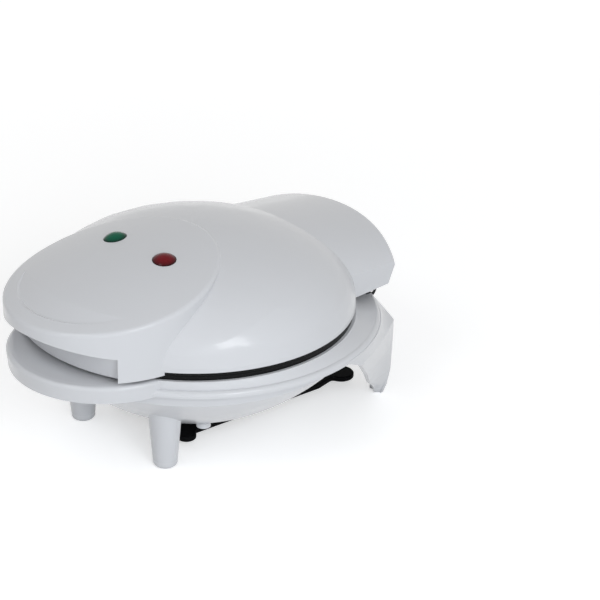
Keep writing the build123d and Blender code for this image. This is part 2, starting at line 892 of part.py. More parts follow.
with BuildPart() as base_shell:
    add(flange_form(0, rim_round))
    add(flange_form(wall, rim_round - wall / 2), mode=Mode.SUBTRACT)
    add(ledge.part)
    with BuildSketch(level(rim_height - rim_band)):
        Circle(bead_radius)
    extrude(amount=rim_seat - rim_height + rim_band)
    add(bowl_form(0, rim_seat))
    add(solid_feet.part)
    add(right_leg)
    mirror(right_leg, about=Plane.YZ)
    with BuildSketch(upright(rear_wall_y)):
        Polygon(
            (-leg_ridge_half_width, leg_plate_top),
            (leg_ridge_half_width, leg_plate_top),
            (leg_half_width, leg_shoulder_height),
            (leg_half_width, leg_waist_height),
            (leg_half_width - play, leg_knee_height),
            (leg_half_width - leg_wall, leg_ankle_height),
            (leg_foot_half_width, 0),
            (-leg_foot_half_width, 0),
            (-leg_half_width + leg_wall, leg_ankle_height),
            (-leg_half_width + play, leg_knee_height),
            (-leg_half_width, leg_waist_height),
            (-leg_half_width, leg_shoulder_height),
            align=None,
        )
        Ellipse(leg_arch_half_width, leg_arch_height, mode=Mode.SUBTRACT)
        with Locations((0, -leg_arch_height / 2)):
            Rectangle(2 * (leg_foot_half_width - leg_foot_width), leg_arch_height, mode=Mode.SUBTRACT)
    extrude(amount=wall)
    with BuildSketch(level(rear_box_bottom)):
        with Locations((0, (rear_box_front + rear_wall_y) / 2)):
            Rectangle(2 * rear_box_half_width, rear_wall_y - rear_box_front)
    extrude(amount=channel_floor - rear_box_bottom)
    with BuildSketch(level(wrap_top)):
        Circle(hub_radius)
    extrude(amount=bowl_floor_height - wrap_top)
    with BuildSketch(level(underside_boss_height - underside_hole_depth)):
        with Locations(*front_post_places):
            Circle(underside_boss_radius)
    extrude(amount=underside_hole_depth)
    with BuildSketch(level(rear_box_bottom, 0, rear_wall_y + rim_half_length)):
        Rectangle(4 * rim_half_length, 2 * rim_half_length)
    extrude(amount=seam_height, mode=Mode.SUBTRACT)
    add(base_inside.part, mode=Mode.SUBTRACT)
    with BuildSketch(level(channel_floor, 0, channel_front + knuckle_radius)):
        Rectangle(2 * channel_half_width, 2 * knuckle_radius)
    extrude(amount=seam_height, mode=Mode.SUBTRACT)
    with BuildSketch(level(underside_boss_height)):
        with Locations(*shield_post_places):
            Circle(post_radius)
    extrude(amount=lower_shield_height - underside_boss_height)
    add(plate_posts.part)
    with BuildSketch(level(plate_boss_bottom)):
        with Locations(*plate_screw_places):
            Circle(screw_radius)
    extrude(amount=-screw_bite, mode=Mode.SUBTRACT)
    with BuildSketch(level(lower_shield_height)):
        with Locations(*shield_post_places):
            Circle(screw_radius)
    extrude(amount=-screw_bite, mode=Mode.SUBTRACT)
    with BuildSketch(level(underside_boss_height - underside_hole_depth)):
        with Locations(*shield_post_places):
            Circle(underside_hole_radius)
    extrude(amount=underside_hole_depth, mode=Mode.SUBTRACT)
    with BuildSketch(level(wrap_top)):
        with PolarLocations(hub_screw_radius, 3, 90):
            Circle(screw_radius)
    extrude(amount=screw_bite, mode=Mode.SUBTRACT)
    with BuildSketch(level(rear_box_bottom, gland_x, gland_y)):
        Circle(gland_body_radius)
    extrude(amount=wall, mode=Mode.SUBTRACT)

save(base_shell.part, "base_shell")

# Cord wrap plate
with BuildPart() as cord_wrap:
    with BuildSketch(level(wrap_height)) as cord_wrap_outline:
        Polygon(
            (-wrap_front_half_width, wrap_front_y),
            (wrap_front_half_width, wrap_front_y),
            (wrap_wide_half_width, wrap_wide_y),
            (wrap_back_half_width, wrap_back_y),
            (-wrap_back_half_width, wrap_back_y),
            (-wrap_wide_half_width, wrap_wide_y),
            align=None,
        )
        with Locations((-wrap_front_half_width, wrap_front_y), (wrap_front_half_width, wrap_front_y)):
            Circle(wrap_front_ear_radius)
        with Locations((-wrap_back_half_width, wrap_back_y), (wrap_back_half_width, wrap_back_y)):
            Circle(wrap_back_ear_radius)
        with Locations((0, wrap_back_y)):
            Ellipse(wrap_notch_half_width, wrap_notch_depth, mode=Mode.SUBTRACT)
        fillet(cord_wrap_outline.vertices(), wrap_corner_round)
    extrude(amount=wrap_thickness)
    fillet(cord_wrap.faces().sort_by(Axis.Z)[0].edges(), wrap_edge_round)
    fillet(cord_wrap.faces().sort_by(Axis.Z)[-1].edges(), wrap_edge_round)
    with BuildSketch(level(wrap_height)):
        with PolarLocations(hub_screw_radius, 3, 90):
            Circle(screw_head_radius + play)
    extrude(amount=wrap_thickness / 2, mode=Mode.SUBTRACT)
    with BuildSketch(level(wrap_height)):
        with PolarLocations(hub_screw_radius, 3, 90):
            Circle(screw_radius)
    extrude(amount=wrap_thickness, mode=Mode.SUBTRACT)

save(cord_wrap.part, "cord_wrap")

with BuildPart() as cord_wrap_screws:
    with BuildSketch(level(wrap_height + wrap_thickness / 2)):
        with PolarLocations(hub_screw_radius, 3, 90):
            Circle(screw_head_radius)
    extrude(amount=-screw_head_height)
    with BuildSketch(level(wrap_height + wrap_thickness / 2)):
        with PolarLocations(hub_screw_radius, 3, 90):
            Circle(screw_radius)
    extrude(amount=wrap_thickness / 2 + screw_bite)

save(cord_wrap_screws.part, "cord_wrap_screws")


# Heating elements, each a bent tube held against its plate by clips
def element_form(height):
    """Tube ring with both ends bent out to the rear and a terminal stud in each end."""
    with BuildPart() as form:
        with BuildLine():
            ring = CenterArc((0, 0), element_radius, 90 + element_gap_angle, 360 - 2 * element_gap_angle)
            left = JernArc(ring @ 0, ring % 0 * -1, element_bend, 90 - element_gap_angle)
            right = JernArc(ring @ 1, ring % 1, element_bend, element_gap_angle - 90)
            left_end = Line(left @ 1, ((left @ 1).X, element_end_y))
            right_end = Line(right @ 1, ((right @ 1).X, element_end_y))
        with BuildSketch(Plane(origin=left_end @ 1, z_dir=(0, -1, 0))):
            Circle(element_thickness)
        sweep()
        with BuildSketch(*[Plane(origin=end @ 1, z_dir=(0, 1, 0)) for end in (left_end, right_end)]):
            Circle(terminal_radius)
        extrude(amount=terminal_length)
    return Pos(0, plate_y, height) * form.part


def clip_form(seat, height, upward):
    """Three straps over an element tube, their feet flat on the plate."""
    reach = element_thickness + play + clip_thickness
    with BuildPart() as form:
        for index in range(3):
            with BuildSketch(radial(clip_first_angle + index * clip_angle_step - clip_arc / 2)):
                with Locations((element_radius, height)):
                    Circle(reach)
                    Circle(element_thickness + play, mode=Mode.SUBTRACT)
                with Locations((element_radius, seat + upward * clip_thickness / 2)):
                    Rectangle(2 * (reach + clip_foot), clip_thickness)
                with Locations((element_radius, height)):
                    Circle(element_thickness + play, mode=Mode.SUBTRACT)
                with Locations((element_radius, seat - upward * reach)):
                    Rectangle(4 * reach, 2 * reach, mode=Mode.SUBTRACT)
            revolve(axis=spin, revolution_arc=clip_arc)
    return form.part


def shield_form(height, lip, post_places):
    """Thin dished disc on posts, with a screw hole at each."""
    with BuildPart() as form:
        with BuildSketch(level(height)):
            Circle(shield_radius)
            with Locations(*post_places):
                Circle(screw_radius, mode=Mode.SUBTRACT)
        extrude(amount=shield_thickness)
        with BuildSketch(level(height)):
            Circle(shield_radius)
            Circle(shield_radius - shield_thickness, mode=Mode.SUBTRACT)
        extrude(amount=lip)
    return form.part


def screws_form(seat, places):
    """Round-headed screws standing on a seat and reaching down from it."""
    with BuildPart() as form:
        with BuildSketch(level(seat)):
            with Locations(*places):
                Circle(screw_head_radius)
        extrude(amount=screw_head_height)
        with BuildSketch(level(seat)):
            with Locations(*places):
                Circle(screw_radius)
        extrude(amount=-screw_bite)
    return form.part


upper_post_places = [
    (upper_post_radius * cos(radians(turn)), upper_post_radius * sin(radians(turn)))
    for turn in (45, 135, 225, 315)
]
save(element_form(lower_element_height), "lower_element")
save(element_form(upper_element_height), "upper_element")
save(clip_form(pan_underside, lower_element_height, -1), "lower_element_clips")
save(clip_form(dish_top, upper_element_height, 1), "upper_element_clips")
save(shield_form(lower_shield_height, shield_lip, shield_post_places), "lower_shield")
save(shield_form(upper_shield_height, -shield_lip, upper_post_places), "upper_shield")
save(screws_form(lower_shield_height + shield_thickness, shield_post_places), "lower_shield_screws")
save(screws_form(upper_shield_height + shield_thickness, upper_post_places), "upper_shield_screws")

# Thermostat and thermal fuse under the pan
with BuildPart() as thermostat:
    with BuildSketch(level(pan_underside)):
        Circle(thermostat_flange_radius)
    extrude(amount=-thermostat_flange)
    with BuildSketch(level(pan_underside)):
        Circle(thermostat_radius)
    extrude(amount=-thermostat_height)
    for side in (-1, 1):
        with BuildSketch(level(pan_underside - thermostat_height / 2, side * thermostat_radius)):
            Rectangle(thermostat_radius, terminal_radius * 2)
        extrude(amount=shield_thickness)

save(thermostat.part, "thermostat")

with BuildPart() as thermal_fuse:
    with BuildSketch(upright(fuse_length / 2, fuse_x)):
        with Locations((0, pan_underside - fuse_radius)):
            Circle(fuse_radius)
    extrude(amount=fuse_length)
    fillet(thermal_fuse.edges().filter_by(GeomType.CIRCLE), play)

save(thermal_fuse.part, "thermal_fuse")

# Terminal block on the rear box floor
block_bottom = rear_box_bottom + wall
with BuildPart() as terminal_block:
    with BuildSketch(level(block_bottom, block_x, block_y)):
        Rectangle(block_length, block_width)
    extrude(amount=block_height)
    with BuildSketch(level(block_bottom + block_height, block_x, block_y)):
        with GridLocations(block_length / 3, 0, 3, 1):
            Circle(block_screw_radius)
    extrude(amount=-block_height / 2, mode=Mode.SUBTRACT)

save(terminal_block.part, "terminal_block")

# Cord gland through the rear box floor
with BuildPart() as cord_gland:
    with BuildSketch(level(rear_box_bottom, gland_x, gland_y)):
        Circle(gland_flange_radius)
    extrude(amount=-gland_flange)
    with BuildSketch(level(rear_box_bottom - gland_length / 2, gland_x, gland_y)):
        Circle(gland_body_radius)
    extrude(amount=gland_length)
    fillet(cord_gland.edges().group_by(Axis.Z)[0], play)
    with BuildSketch(level(rear_box_bottom - gland_length, gland_x, gland_y)):
        Circle(gland_bore_radius)
    extrude(amount=2 * gland_length, mode=Mode.SUBTRACT)

save(cord_gland.part, "cord_gland")


# Indicator lights
def lens_form(seat):
    """Domed round lens with a flange and a stem, standing in its seat."""
    section = Plane(origin=seat.origin, x_dir=seat.x_dir, z_dir=seat.y_dir * -1)
    with BuildPart() as form:
        with BuildSketch(section):
            with BuildLine():
                TangentArc((0, lens_rise), (lens_radius, 0), tangent=(1, 0))
                Polyline(
                    (0, lens_rise),
                    (0, -lens_stem_length),
                    (lens_stem_radius, -lens_stem_length),
                    (lens_stem_radius, -lens_flange),
                    (lens_radius, -lens_flange),
                    (lens_radius, 0),
                )
            make_face()
        revolve(axis=Axis(seat.origin, seat.z_dir))
    return form.part


save(lens_form(lens_seats[0]), "green_lens")
save(lens_form(lens_seats[1]), "red_lens")

with BuildPart() as neon_lamps:
    with BuildSketch(*[seat.offset(-lens_stem_length) for seat in lens_seats]):
        Circle(lamp_radius)
    extrude(amount=-lamp_length)

save(neon_lamps.part, "neon_lamps")

with BuildPart() as lamp_plugs:
    with BuildSketch(*[seat.offset(-lens_stem_length - lamp_length) for seat in lens_seats]):
        Circle(lens_stem_radius)
    extrude(amount=-plug_length)

save(lamp_plugs.part, "lamp_plugs")


# Wiring
def wire_form(*routes):
    """Wires of one gauge, each run straight from point to point about the plates' centre."""
    with BuildPart() as form:
        for route in routes:
            with BuildLine():
                path = Polyline(*route)
            with BuildSketch(Plane(origin=path @ 0, z_dir=path % 0)):
                Circle(wire_radius)
            sweep(transition=Transition.ROUND)
    return Pos(0, plate_y, 0) * form.part


wire_bend = 3 * wire_radius
stud_x = (element_radius + element_bend) * sin(radians(element_gap_angle)) - element_bend
stud_y = element_end_y + terminal_length
block_middle = block_bottom + block_height / 2
block_near = block_x - block_length / 3
block_far = block_x + block_length / 3
arch_height = lower_element_height - wire_radius
lip_height = lower_shield_height + shield_lip + wire_radius + play
lead_height = lower_shield_height + shield_thickness + 2 * wire_radius
fuse_height = pan_underside - fuse_radius
tab_height = pan_underside - (thermostat_height - shield_thickness) / 2
tab_end = 1.5 * thermostat_radius
left_stud_route = (
    (-stud_x, stud_y, lower_element_height),
    (-stud_x, stud_y + wire_bend, lower_element_height),
    (0, block_y + wire_bend, arch_height),
    (block_near, block_y, arch_height),
    (block_near, block_y, block_middle),
)
right_stud_route = (
    (stud_x, stud_y, lower_element_height),
    (stud_x, stud_y + wire_bend, lower_element_height),
    (block_x, block_y, arch_height),
    (block_x, block_y, block_middle),
)
fuse_route = (
    (block_far, block_y, block_middle),
    (block_far, block_y, arch_height),
    (block_far, element_end_y, arch_height),
    (block_far, shield_radius - shield_lip, lip_height + play),
    (block_far, element_radius - 3 * element_thickness, lead_height),
    (fuse_x, fuse_length, fuse_height),
    (fuse_x, fuse_length / 2, fuse_height),
)
thermostat_route = (
    (fuse_x, -fuse_length / 2, fuse_height),
    (fuse_x, -fuse_length, fuse_height),
    (0, -2 * thermostat_radius, tab_height),
    (-tab_end - wire_bend, 0, tab_height),
    (-tab_end, 0, tab_height),
)
save(wire_form(left_stud_route, right_stud_route, fuse_route, thermostat_route), "base_wires")

plug_depth = lens_stem_length + lamp_length + plug_length
lamp_routes = []
for seat in lens_seats:
    side = seat.origin.X / lens_x
    near = seat.offset(-plug_depth - wire_bend).origin
    end = seat.offset(-plug_depth).origin
    lamp_routes.append(
        (
            (side * stud_x, stud_y, upper_element_height),
            (side * stud_x, stud_y + wire_bend, upper_element_height),
            (side * stud_x, stud_y + wire_bend, upper_shield_height + shield_lip),
            (near.X, 0, upper_shield_height + 2 * shield_lip),
            (near.X, near.Y - plate_y, near.Z),
            (end.X, end.Y - plate_y, end.Z),
        )
    )
save(wire_form(*lamp_routes), "lid_wires")
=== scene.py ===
"""Looks of the mini pizza maker: finishes, screws, hinge pin, lamp lenses, floor, light and camera."""
import math
from collections import namedtuple

import bmesh
import bpy
import numpy as np
from bpy.props import FloatProperty, FloatVectorProperty, IntProperty, PointerProperty
from bpy.types import Operator, Panel, PropertyGroup
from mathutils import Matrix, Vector


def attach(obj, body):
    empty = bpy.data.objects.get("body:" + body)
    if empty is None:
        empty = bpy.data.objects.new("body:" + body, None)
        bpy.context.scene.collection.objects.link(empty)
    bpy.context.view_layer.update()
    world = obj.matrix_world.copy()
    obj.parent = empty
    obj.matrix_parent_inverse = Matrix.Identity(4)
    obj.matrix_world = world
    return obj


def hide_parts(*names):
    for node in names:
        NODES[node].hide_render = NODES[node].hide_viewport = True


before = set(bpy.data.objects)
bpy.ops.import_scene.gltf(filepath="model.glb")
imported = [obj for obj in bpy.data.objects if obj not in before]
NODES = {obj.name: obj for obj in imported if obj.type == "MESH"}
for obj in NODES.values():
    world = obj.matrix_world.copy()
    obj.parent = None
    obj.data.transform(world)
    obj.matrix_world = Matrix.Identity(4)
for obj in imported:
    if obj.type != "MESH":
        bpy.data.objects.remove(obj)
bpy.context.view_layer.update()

bl_info = {
    "name": "Mini pizza maker looks",
    "version": (1, 0, 0),
    "blender": (4, 5, 0),
    "location": "3D View > Sidebar > Pizza maker",
    "description": "Finishes, screws, hinge pin, lamp lenses and a studio for the packed pizza maker",
    "category": "Object",
}

UP, DOWN, SIDEWAYS = (0.0, 0.0, 1.0), (0.0, 0.0, -1.0), (1.0, 0.0, 0.0)
WHITE = (1.0, 1.0, 1.0)

# Places in metres: the plates' centre, the hinge's axis, and the arcs of the lid's crown
PLATE_CENTRE = np.array([0.0, 0.0005, 0.0])
HINGE = np.array([0.0, 0.1195, 0.077])
CROWN_TOP = 0.145
CROWN_LONG_RADIUS = 0.424
CROWN_CROSS_RADIUS = 0.225

# The scuffed band on the feet: its strength at the floor, its loss per metre, and its share of tint
SCUFF_AT_FLOOR = 0.9
SCUFF_LOSS = -160.0
SCUFF_SHARE = 0.35

# The heaters' bloom: factor and offset that cut patches out of a noise
BLOOM_CONTRAST = 3.0
BLOOM_OFFSET = -1.2

# The lenses: the dome's share of the radius, how sharply a painted shade darkens them towards the
# rim, and how much their ribs darken them
DOME_SHARE = 0.985
RIM_SHADE_POWER = 4.0
RIB_SHADE = 0.12

# Mesh steps round and along, the angle in degrees over which an edge is sharp, and the distance in
# metres under which points at a pole are one
PIN_TURNS, PIN_RINGS, PIN_END_RINGS = 48, 40, 10
LENS_TURNS, LENS_RINGS = 96, 28
FLOOR_TURNS, FLOOR_RINGS = 64, 24
SCREW_CAP_RINGS = 22
RINGS_PER_PITCH = 4.0
SHARP_ANGLE = 35.0
POLE_GAP = 1e-7

# Studio: lamp places and sizes in metres, lamp colours, and the far glow's ramp over the floor
LAMP_TARGET = (0.0, 0.0, 0.08)
DOME_SIDE = (0.094, -0.053, 0.105)
FRONT_PLACE, FRONT_SIZE, FRONT_COLOUR = (1.33, -0.8, 0.66), (0.9, 0.9), (0.88, 0.94, 1.0)
RIDGE_PLACE, RIDGE_SIZE = (0.06, -0.95, 1.2), (0.5, 0.5)
WINDOW_PLACE, WINDOW_SIZE, WINDOW_COLOUR = (1.092, -0.304, 0.723), (0.44, 0.4), (0.95, 0.975, 1.0)
FAR_GLOW_RISE = 0.4
FAR_GLOW_OFFSET = -0.1
SENSOR_WIDTH = 36.0
CLIP_START = 0.01


# Sizes and colours
def length(name, description, default):
    """A length property in metres."""
    return FloatProperty(
        name=name, description=description, default=default, min=0.0, unit="LENGTH", precision=5
    )


def share(name, description, default):
    """A plain factor from 0 to 1."""
    return FloatProperty(
        name=name, description=description, default=default, min=0.0, max=1.0, subtype="FACTOR"
    )


def tint(name, description, default):
    """A linear colour."""
    return FloatVectorProperty(
        name=name, description=description, default=default, min=0.0, max=1.0, size=3, subtype="COLOR"
    )


def angle(name, description, degrees):
    """An angle property, given in degrees."""
    return FloatProperty(
        name=name, description=description, default=math.radians(degrees), unit="ROTATION"
    )


def power(name, description, default):
    """A lamp's power in watts."""
    return FloatProperty(name=name, description=description, default=default, unit="POWER")


def count(name, description, default, least, most):
    """A whole number between two limits."""
    return IntProperty(name=name, description=description, default=default, min=least, max=most)


class PIZZAMAKER_PG_shell(PropertyGroup):
    """Finish of the moulded body, lid and cord wrap."""

    white: tint("Shell white", "Colour of the glossy mouldings", (0.645, 0.65, 0.67))
    white_roughness: share("Shell roughness", "How blurred the shell's reflections are", 0.26)
    scuff: tint("Scuff", "Colour of the rubbed band near the floor", (0.42, 0.42, 0.43))
    black: tint("Wrap black", "Colour of the matt cord wrap and cable gland", (0.007, 0.007, 0.0075))
    black_roughness: share("Wrap roughness", "How matt the wrap is", 0.48)


class PIZZAMAKER_PG_castings(PropertyGroup):
    """Finish of the two baking plates."""

    coating: tint("Coating", "Colour of the non-stick coating", (0.0065, 0.0067, 0.007))
    coating_roughness: share("Coating roughness", "How satin the coating is", 0.36)
    speckle: tint("Speckle", "Colour of the fine flecks in the coating", (0.05, 0.05, 0.052))


class PIZZAMAKER_PG_heating(PropertyGroup):
    """Finishes of the heating parts inside the two shells."""

    sheath: tint("Sheath", "Colour of the oxidised heater tube", (0.11, 0.1, 0.09))
    oxide: tint("Oxide", "Brown bloom on the heater tube", (0.13, 0.08, 0.05))
    steel: tint("Sheet steel", "Colour of clips", (0.5, 0.5, 0.5))
    aluminium: tint("Aluminium", "Colour of the heat shields", (0.72, 0.72, 0.73))
    phenolic: tint("Phenolic", "Colour of the thermostat body", (0.05, 0.043, 0.036))


class PIZZAMAKER_PG_wiring(PropertyGroup):
    """Finishes of the wiring and its fittings."""

    sleeve: tint("Sleeve", "Colour of the woven wire sleeves", (0.62, 0.6, 0.54))
    gaps: tint("Sleeve gaps", "Colour between the sleeves' strands", (0.25, 0.23, 0.2))
    fuse: tint("Fuse sleeve", "Colour of the thermal fuse's sleeve", (0.56, 0.5, 0.4))
    block: tint("Terminal block", "Colour of the terminal block", (0.66, 0.65, 0.6))
    rubber: tint("Rubber", "Colour of the lamp plugs", (0.05, 0.05, 0.05))
    glass: tint("Lamp glass", "Colour of the neon lamps", (0.92, 0.86, 0.8))


class PIZZAMAKER_PG_screws(PropertyGroup):
    """Pan-head screws with a cross drive."""

    head_radius: length("Head radius", "Radius of the pan head", 0.0034)
    head_rise: length("Head rise", "Height of the head over its seat", 0.002)
    shank_radius: length("Shank radius", "Radius over the thread crests", 0.0015)
    pitch: length("Pitch", "Advance of the thread in one turn", 0.0008)
    thread_depth: length("Thread depth", "Crest to root", 0.0003)
    zinc: tint("Zinc", "Colour of the plated steel", (0.5, 0.5, 0.505))
    turns: count("Steps round", "Mesh steps round a screw", 48, 12, 128)


class PIZZAMAKER_PG_pin(PropertyGroup):
    """The hinge pin, with domed ends."""

    radius: length("Radius", "Radius of the pin", 0.002)
    half_length: length("Half length", "From the middle to either end", 0.0605)
    dome: length("End dome", "How far the ends are rounded", 0.0007)
    steel: tint("Steel", "Colour of the ground steel", (0.68, 0.68, 0.69))


class PIZZAMAKER_PG_lenses(PropertyGroup):
    """The green and red lamp lenses on the lid."""

    radius: length("Radius", "Outer radius of the flange", 0.008)
    rise: length("Rise", "Height of the dome", 0.0032)
    flange: length("Flange", "Depth of the flange in the lid", 0.0008)
    stem_radius: length("Stem radius", "Radius of the stem under the flange", 0.006)
    stem_length: length("Stem length", "Length of the stem", 0.006)
    across: length("Across", "Sideways distance from the middle of the lid", 0.025)
    forward: length("Forward", "Distance towards the handle from the middle of the lid", 0.05)
    ribs: count("Ribs", "Prism ribs moulded under the dome", 24, 6, 60)
    green: tint("Green", "Colour of the ready lens", (0.001, 0.115, 0.06))
    # The rim colours are painted shade: each lens is drawn darker towards its rim
    green_rim: tint("Green rim", "Colour of the ready lens at its rim", (0.0005, 0.02, 0.012))
    red: tint("Red", "Colour of the power lens", (0.16, 0.003, 0.008))
    red_rim: tint("Red rim", "Colour of the power lens at its rim", (0.02, 0.001, 0.002))


class PIZZAMAKER_PG_studio(PropertyGroup):
    """Floor, lamps, world and camera."""

    floor: tint("Floor", "Colour of the floor", (0.8, 0.8, 0.8))
    floor_glow: share("Floor glow", "White added to the floor as the camera sees it", 0.5)
    floor_far_glow: share("Far glow", "White added to the far floor, over the floor glow", 0.4)
    floor_radius: length("Floor radius", "Radius of the round floor", 6.0)
    sky: share("Sky", "Strength of the world on matt surfaces", 0.42)
    key: power("Key", "Power of the large front lamp", 9.8)
    ridge: power("Ridge", "Power of the lamp over the grip", 2.2)
    window: power("Window", "Power of the small window lamp", 2.6)
    azimuth: angle("Azimuth", "Camera turn", 47.3)
    elevation: angle("Elevation", "Camera height", 27.2)
    distance: length("Distance", "From the camera to its target", 1.15)
    target_height: length("Target height", "Height of the camera's target", 0.05)
    lens: FloatProperty(name="Lens", description="Focal length in millimetres", default=97.2)
    shift_x: FloatProperty(name="Shift across", description="Sideways framing", default=0.176)
    shift_y: FloatProperty(name="Shift up", description="Upward framing", default=0.0767)


# Node helpers
def node_at(tree, kind, place, **values):
    """A node of one kind in a tree, with values set on its inputs or, where none has the name, on it.

    An underscore in a name stands for a space in an input's label.
    """
    node = tree.nodes.new(kind)
    node.location = place
    for key, value in values.items():
        label = key.replace("_", " ")
        if label in node.inputs:
            node.inputs[label].default_value = value
        else:
            setattr(node, key, value)
    return node


def math_at(tree, operation, place, first, second, third=None, clamp=False):
    """A math node whose inputs are sockets or plain numbers; returns its output."""
    node = node_at(tree, "ShaderNodeMath", place, operation=operation, use_clamp=clamp)
    for socket, value in zip(node.inputs, (first, second, third)):
        if isinstance(value, bpy.types.NodeSocket):
            tree.links.new(value, socket)
        elif value is not None:
            socket.default_value = value
    return node.outputs[0]


def mixed(tree, place, factor, first, second):
    """A colour mix of two sockets by a third; returns its output."""
    node = node_at(tree, "ShaderNodeMix", place, data_type="RGBA")
    for socket, value in zip((node.inputs[0], node.inputs[6], node.inputs[7]), (factor, first, second)):
        if isinstance(value, bpy.types.NodeSocket):
            tree.links.new(value, socket)
        else:
            socket.default_value = value
    return node.outputs[2]


def new_group(name, inputs, outputs):
    """An empty shader node group with named sockets, and its input and output nodes."""
    tree = bpy.data.node_groups.new(name, "ShaderNodeTree")
    for label, kind, value in inputs:
        tree.interface.new_socket(label, in_out="INPUT", socket_type=kind).default_value = value
    for label, kind in outputs:
        tree.interface.new_socket(label, in_out="OUTPUT", socket_type=kind)
    return tree, node_at(tree, "NodeGroupInput", (-900, 0)), node_at(tree, "NodeGroupOutput", (700, 0))


COLOUR, NUMBER, VECTOR = "NodeSocketColor", "NodeSocketFloat", "NodeSocketVector"
PALE = (0.8, 0.8, 0.8, 1.0)


# Effects shared by the materials
def mottle_group():
    """Slow drift of tone and gloss over a surface: a broad noise, and a fine one added for the gloss."""
    tree, given, out = new_group(
        "mottle_group",
        [
            ("Colour", COLOUR, PALE),
            ("Patch size", NUMBER, 18.0),
            ("Colour drift", NUMBER, 0.03),
            ("Roughness", NUMBER, 0.3),
            ("Gloss drift", NUMBER, 0.08),
        ],
        [("Colour", COLOUR), ("Roughness", NUMBER)],
    )
    link = tree.links.new
    place = node_at(tree, "ShaderNodeTexCoord", (-900, -300))
    broad = node_at(tree, "ShaderNodeTexNoise", (-650, 100), Detail=3.0, Roughness=0.55)
    fine = node_at(tree, "ShaderNodeTexNoise", (-650, -200), Scale=900.0, Detail=2.0)
    link(place.outputs["Object"], broad.inputs["Vector"])
    link(place.outputs["Object"], fine.inputs["Vector"])
    link(given.outputs["Patch size"], broad.inputs["Scale"])
    centred = math_at(tree, "SUBTRACT", (-430, 100), broad.outputs[0], 0.5)
    tone = math_at(tree, "MULTIPLY_ADD", (-230, 150), centred, given.outputs["Colour drift"], 1.0)
    tinted = node_at(tree, "ShaderNodeVectorMath", (0, 150), operation="SCALE")
    link(given.outputs["Colour"], tinted.inputs[0])
    link(tone, tinted.inputs["Scale"])
    link(tinted.outputs[0], out.inputs["Colour"])
    both = math_at(tree, "ADD", (-230, -150), broad.outputs[0], fine.outputs[0])
    swing = math_at(tree, "SUBTRACT", (-50, -150), both, 1.0)
    gloss = math_at(
        tree, "MULTIPLY_ADD", (150, -150), swing, given.outputs["Gloss drift"], given.outputs["Roughness"],
        clamp=True,
    )
    link(gloss, out.inputs["Roughness"])
    return tree


def grain_group():
    """Fine relief: a noise stretched along one axis, put out as a height."""
    tree, given, out = new_group(
        "grain_group",
        [("Grain", NUMBER, 400.0), ("Stretch", VECTOR, (1.0, 1.0, 1.0)), ("Detail", NUMBER, 2.0)],
        [("Height", NUMBER)],
    )
    link = tree.links.new
    place = node_at(tree, "ShaderNodeTexCoord", (-900, -300))
    pulled = node_at(tree, "ShaderNodeVectorMath", (-650, 0), operation="MULTIPLY")
    noise = node_at(tree, "ShaderNodeTexNoise", (-400, 0), Roughness=0.6)
    link(place.outputs["Object"], pulled.inputs[0])
    link(given.outputs["Stretch"], pulled.inputs[1])
    link(pulled.outputs[0], noise.inputs["Vector"])
    link(given.outputs["Grain"], noise.inputs["Scale"])
    link(given.outputs["Detail"], noise.inputs["Detail"])
    link(noise.outputs[0], out.inputs["Height"])
    return tree


def dust_group():
    """Faint dust on faces that look up, broken by a noise: a second colour and a rougher skin."""
    tree, given, out = new_group(
        "dust_group",
        [
            ("Colour", COLOUR, PALE),
            ("Dust colour", COLOUR, (0.6, 0.58, 0.55, 1.0)),
            ("Amount", NUMBER, 0.05),
            ("Roughness", NUMBER, 0.3),
        ],
        [("Colour", COLOUR), ("Roughness", NUMBER)],
    )
    link = tree.links.new
    place = node_at(tree, "ShaderNodeTexCoord", (-900, -300))
    parts = node_at(tree, "ShaderNodeSeparateXYZ", (-700, -500))
    link(place.outputs["Normal"], parts.inputs[0])
    specks = node_at(tree, "ShaderNodeTexNoise", (-650, -200), Scale=160.0, Detail=6.0, Roughness=0.7)
    link(place.outputs["Object"], specks.inputs["Vector"])
    upward = math_at(tree, "SUBTRACT", (-450, -500), parts.outputs["Z"], 0.3, clamp=True)
    film = math_at(tree, "MULTIPLY", (-250, -300), specks.outputs[0], upward)
    amount = math_at(tree, "MULTIPLY", (-50, -300), film, given.outputs["Amount"], clamp=True)
    link(mixed(tree, (200, 100), amount, given.outputs["Colour"], given.outputs["Dust colour"]),
         out.inputs["Colour"])
    link(math_at(tree, "ADD", (200, -200), amount, given.outputs["Roughness"], clamp=True),
         out.inputs["Roughness"])
    return tree


def flecks_group():
    """Small round flecks: a cell pattern cut at a small radius, put out as a mask and a height."""
    tree, given, out = new_group(
        "flecks_group",
        [("Density", NUMBER, 900.0), ("Size", NUMBER, 0.16)],
        [("Mask", NUMBER), ("Height", NUMBER)],
    )
    link = tree.links.new
    place = node_at(tree, "ShaderNodeTexCoord", (-900, -300))
    cells = node_at(tree, "ShaderNodeTexVoronoi", (-600, 0))
    noise = node_at(tree, "ShaderNodeTexNoise", (-600, -300), Scale=1500.0, Detail=2.0)
    link(place.outputs["Object"], cells.inputs["Vector"])
    link(place.outputs["Object"], noise.inputs["Vector"])
    link(given.outputs["Density"], cells.inputs["Scale"])
    near = math_at(tree, "LESS_THAN", (-300, 0), cells.outputs["Distance"], given.outputs["Size"])
    link(near, out.inputs["Mask"])
    link(math_at(tree, "MULTIPLY_ADD", (0, -200), near, 0.4, noise.outputs[0]), out.inputs["Height"])
    return tree


